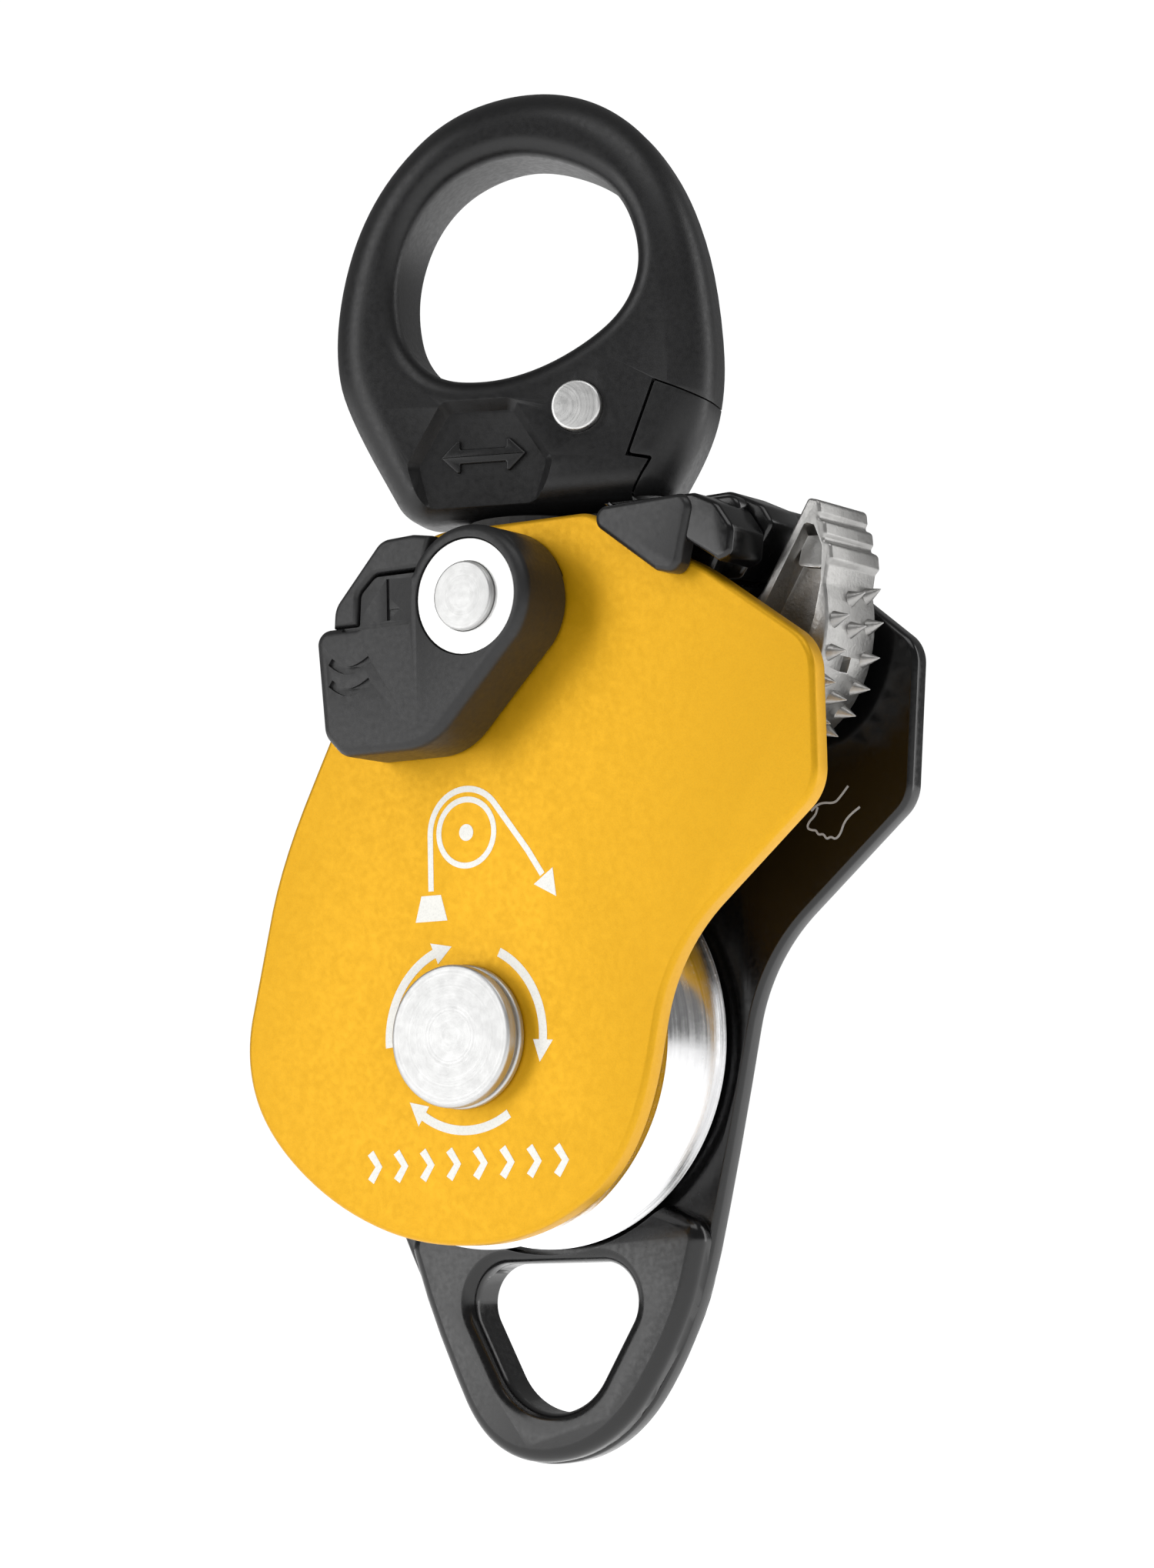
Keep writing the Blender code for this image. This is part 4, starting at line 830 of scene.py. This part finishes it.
rib = prism("cam_rib", [(42.3, 53.0, 0.4), (43.2, 56.4, 0.5), (45.6, 56.2, 0.5), (45.4, 52.4, 0.4)],
            -3.6, -0.95)
slot = prism("cam_slot", [about_cam(8.0, 8.0) + (0.0,), about_cam(26.0, 11.5) + (0.0,),
             about_cam(26.0, 15.5) + (0.0,), about_cam(8.0, 17.0) + (0.0,)], -0.9, 0.9)
dimple = rod("detent_dimple", *DETENT, 1.7, CAM_HALF - 0.6, 9.0)
cut(cam, pocket)
add(cam, rib)
cut(cam, slot, dimple)
teeth = bmesh.new()
spiral = math.degrees(math.atan2(11.8 / math.radians(60.0), 17.0))
for y, spots in ((-4.0, (-14.0, -4.0, 6.0, 16.0, 26.0)), (0.0, (-9.0, 1.0, 24.0, 33.0)),
                 (4.0, (-14.0, -4.0, 6.0, 16.0, 26.0, 35.0))):
    for where in spots:
        x, z = about_cam(tooth_radius(where) + 0.45, where)
        lean = Matrix.Rotation(math.radians(90.0 - where + spiral * 0.55), 4, "Y")
        bmesh.ops.create_cone(teeth, cap_ends=True, cap_tris=True, segments=28, radius1=1.5, radius2=0.05,
                              depth=3.2, matrix=Matrix.Translation((x, y, z)) @ lean)
place("cam_points", teeth, CAM_STEEL, "cam")
soft_edges(cam, 0.12, 2, 45.0)

# ------------------------------------------------------------------ carried-over nodes

KEEP = {
    "spacer_front": AXLE_STEEL, "spacer_rear": AXLE_STEEL, "bearing_inner_race": BEARING,
    "bearing_outer_race": BEARING, "bearing_ball_cage": BEARING, "bearing_seal_front": SEAL,
    "bearing_seal_rear": SEAL, "swivel_spindle": SPINDLE, "swivel_nut": SPINDLE, "swivel_seal": SEAL,
    "thrust_washer_lower": SPINDLE, "thrust_washer_upper": SPINDLE, "thrust_ball_cage": SPINDLE,
    "latch_spring": WIRE, "cam_spring": WIRE, "detent_spring": WIRE, "detent_cup": PIN_STEEL,
    "detent_plunger": PIN_STEEL, "cam_pivot_pin": PIN_STEEL, "cam_retaining_ring": PIN_STEEL,
}
for node, finish in KEEP.items():
    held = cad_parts[node]
    held.data.materials.clear()
    held.data.materials.append(finish)

# ------------------------------------------------------------------ bake modifiers, then ride

bpy.context.view_layer.update()
graph = bpy.context.evaluated_depsgraph_get()
finished = []
for made, body, nodes in PIECES:
    mesh = bpy.data.meshes.new_from_object(made.evaluated_get(graph))
    finished.append((made, mesh, body, nodes))
for made, mesh, body, nodes in finished:
    made.modifiers.clear()
    made.data = mesh
    mesh.shade_smooth()
    mesh.set_sharp_from_angle(angle=math.radians(made["sharp"]))
    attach(made, body)
    if nodes:
        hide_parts(*nodes)
for tool in CUTTERS:
    bpy.data.objects.remove(tool, do_unlink=True)

# ------------------------------------------------------------------ floor, light, camera

FLOOR_Z = -0.22                             # the object hangs clear of the floor
floor_mesh = bmesh.new()
bmesh.ops.create_grid(floor_mesh, x_segments=8, y_segments=8, size=30.0)
floor_data = bpy.data.meshes.new("floor")
floor_mesh.to_mesh(floor_data)
floor_mesh.free()
floor = bpy.data.objects.new("floor", floor_data)
floor.location = (0.0, 0.0, FLOOR_Z)
bpy.context.scene.collection.objects.link(floor)
pale = Nodes("pale_floor", (0.9, 0.9, 0.9), 0.0, 0.9)
cloud = pale.spread(pale.noise(pale.coords(), 3.0), 0.0, 1.0)
pale.link(pale.mix(cloud, (0.88, 0.88, 0.88), (0.9, 0.9, 0.9)), "Base Color")
pale.shader.inputs["Emission Color"].default_value = (1.0, 1.0, 1.0, 1.0)
pale.shader.inputs["Emission Strength"].default_value = 1.0
pale.shader.inputs["Specular IOR Level"].default_value = 0.0
floor_data.materials.append(pale.mat)

world = bpy.data.worlds.new("studio")
bpy.context.scene.world = world
world.use_nodes = True
wt = world.node_tree
back = wt.nodes["Background"]
path = wt.nodes.new("ShaderNodeLightPath")
lit = wt.nodes.new("ShaderNodeBackground")
lit.inputs["Color"].default_value = (1.0, 1.0, 1.0, 1.0)
lit.inputs["Strength"].default_value = 0.2
back.inputs["Color"].default_value = (1.0, 1.0, 1.0, 1.0)
back.inputs["Strength"].default_value = 1.05
blend = wt.nodes.new("ShaderNodeMixShader")
wt.links.new(path.outputs["Is Camera Ray"], blend.inputs[0])
wt.links.new(lit.outputs[0], blend.inputs[1])
wt.links.new(back.outputs[0], blend.inputs[2])
wt.links.new(blend.outputs[0], wt.nodes["World Output"].inputs["Surface"])


def lamp(name, at, to, size, power):
    """A rectangular softbox that faces a point."""
    data = bpy.data.lights.new(name, "AREA")
    data.shape = "RECTANGLE"
    data.size, data.size_y = size
    data.energy = power
    made = bpy.data.objects.new(name, data)
    made.location = at
    made.rotation_euler = (Vector(to) - Vector(at)).to_track_quat("-Z", "Y").to_euler()
    bpy.context.scene.collection.objects.link(made)
    return made


# The camera's place and axes, fitted to circles on the object at a focal length chosen from a near tie
CAMERA_AT = Vector((0.2900, -0.4400, -0.1245))
FOCAL_OVER_HEIGHT = 5700.0 / 2038.0
SENSOR = 36.0
MID = Vector((0.003, 0.0, -0.065))          # what the lamps face
R = Vector((0.83903, 0.54381, -0.01943))
U = Vector((0.07886, -0.08629, 0.99314))
B = Vector((0.53841, -0.83480, -0.11529))


def aim(right, up, back_off, far):
    """A place at a distance from the object, in the camera's directions."""
    return MID + (R * right + U * up + B * back_off).normalized() * far


lamp("left_softbox", aim(-1.0, 0.35, 0.35, 0.9), MID, (0.4, 0.9), 2.9)
lamp("top_softbox", aim(0.1, 1.0, 0.6, 0.9), MID, (0.8, 0.4), 2.2)
lamp("right_softbox", aim(1.0, 0.2, -0.15, 0.9), MID, (0.3, 0.9), 2.2)

scene_camera = bpy.data.cameras.new("camera")
scene_camera.sensor_fit = "VERTICAL"
scene_camera.sensor_height = SENSOR
scene_camera.lens = FOCAL_OVER_HEIGHT * SENSOR
scene_camera.clip_start = 0.01
scene_camera.clip_end = 200.0
camera = bpy.data.objects.new("camera", scene_camera)
camera.matrix_world = Matrix((
    (R.x, U.x, B.x, CAMERA_AT.x), (R.y, U.y, B.y, CAMERA_AT.y), (R.z, U.z, B.z, CAMERA_AT.z),
    (0.0, 0.0, 0.0, 1.0)))
bpy.context.scene.collection.objects.link(camera)
bpy.context.scene.camera = camera
bpy.context.scene.view_settings.view_transform = "Standard"

bpy.context.view_layer.update()
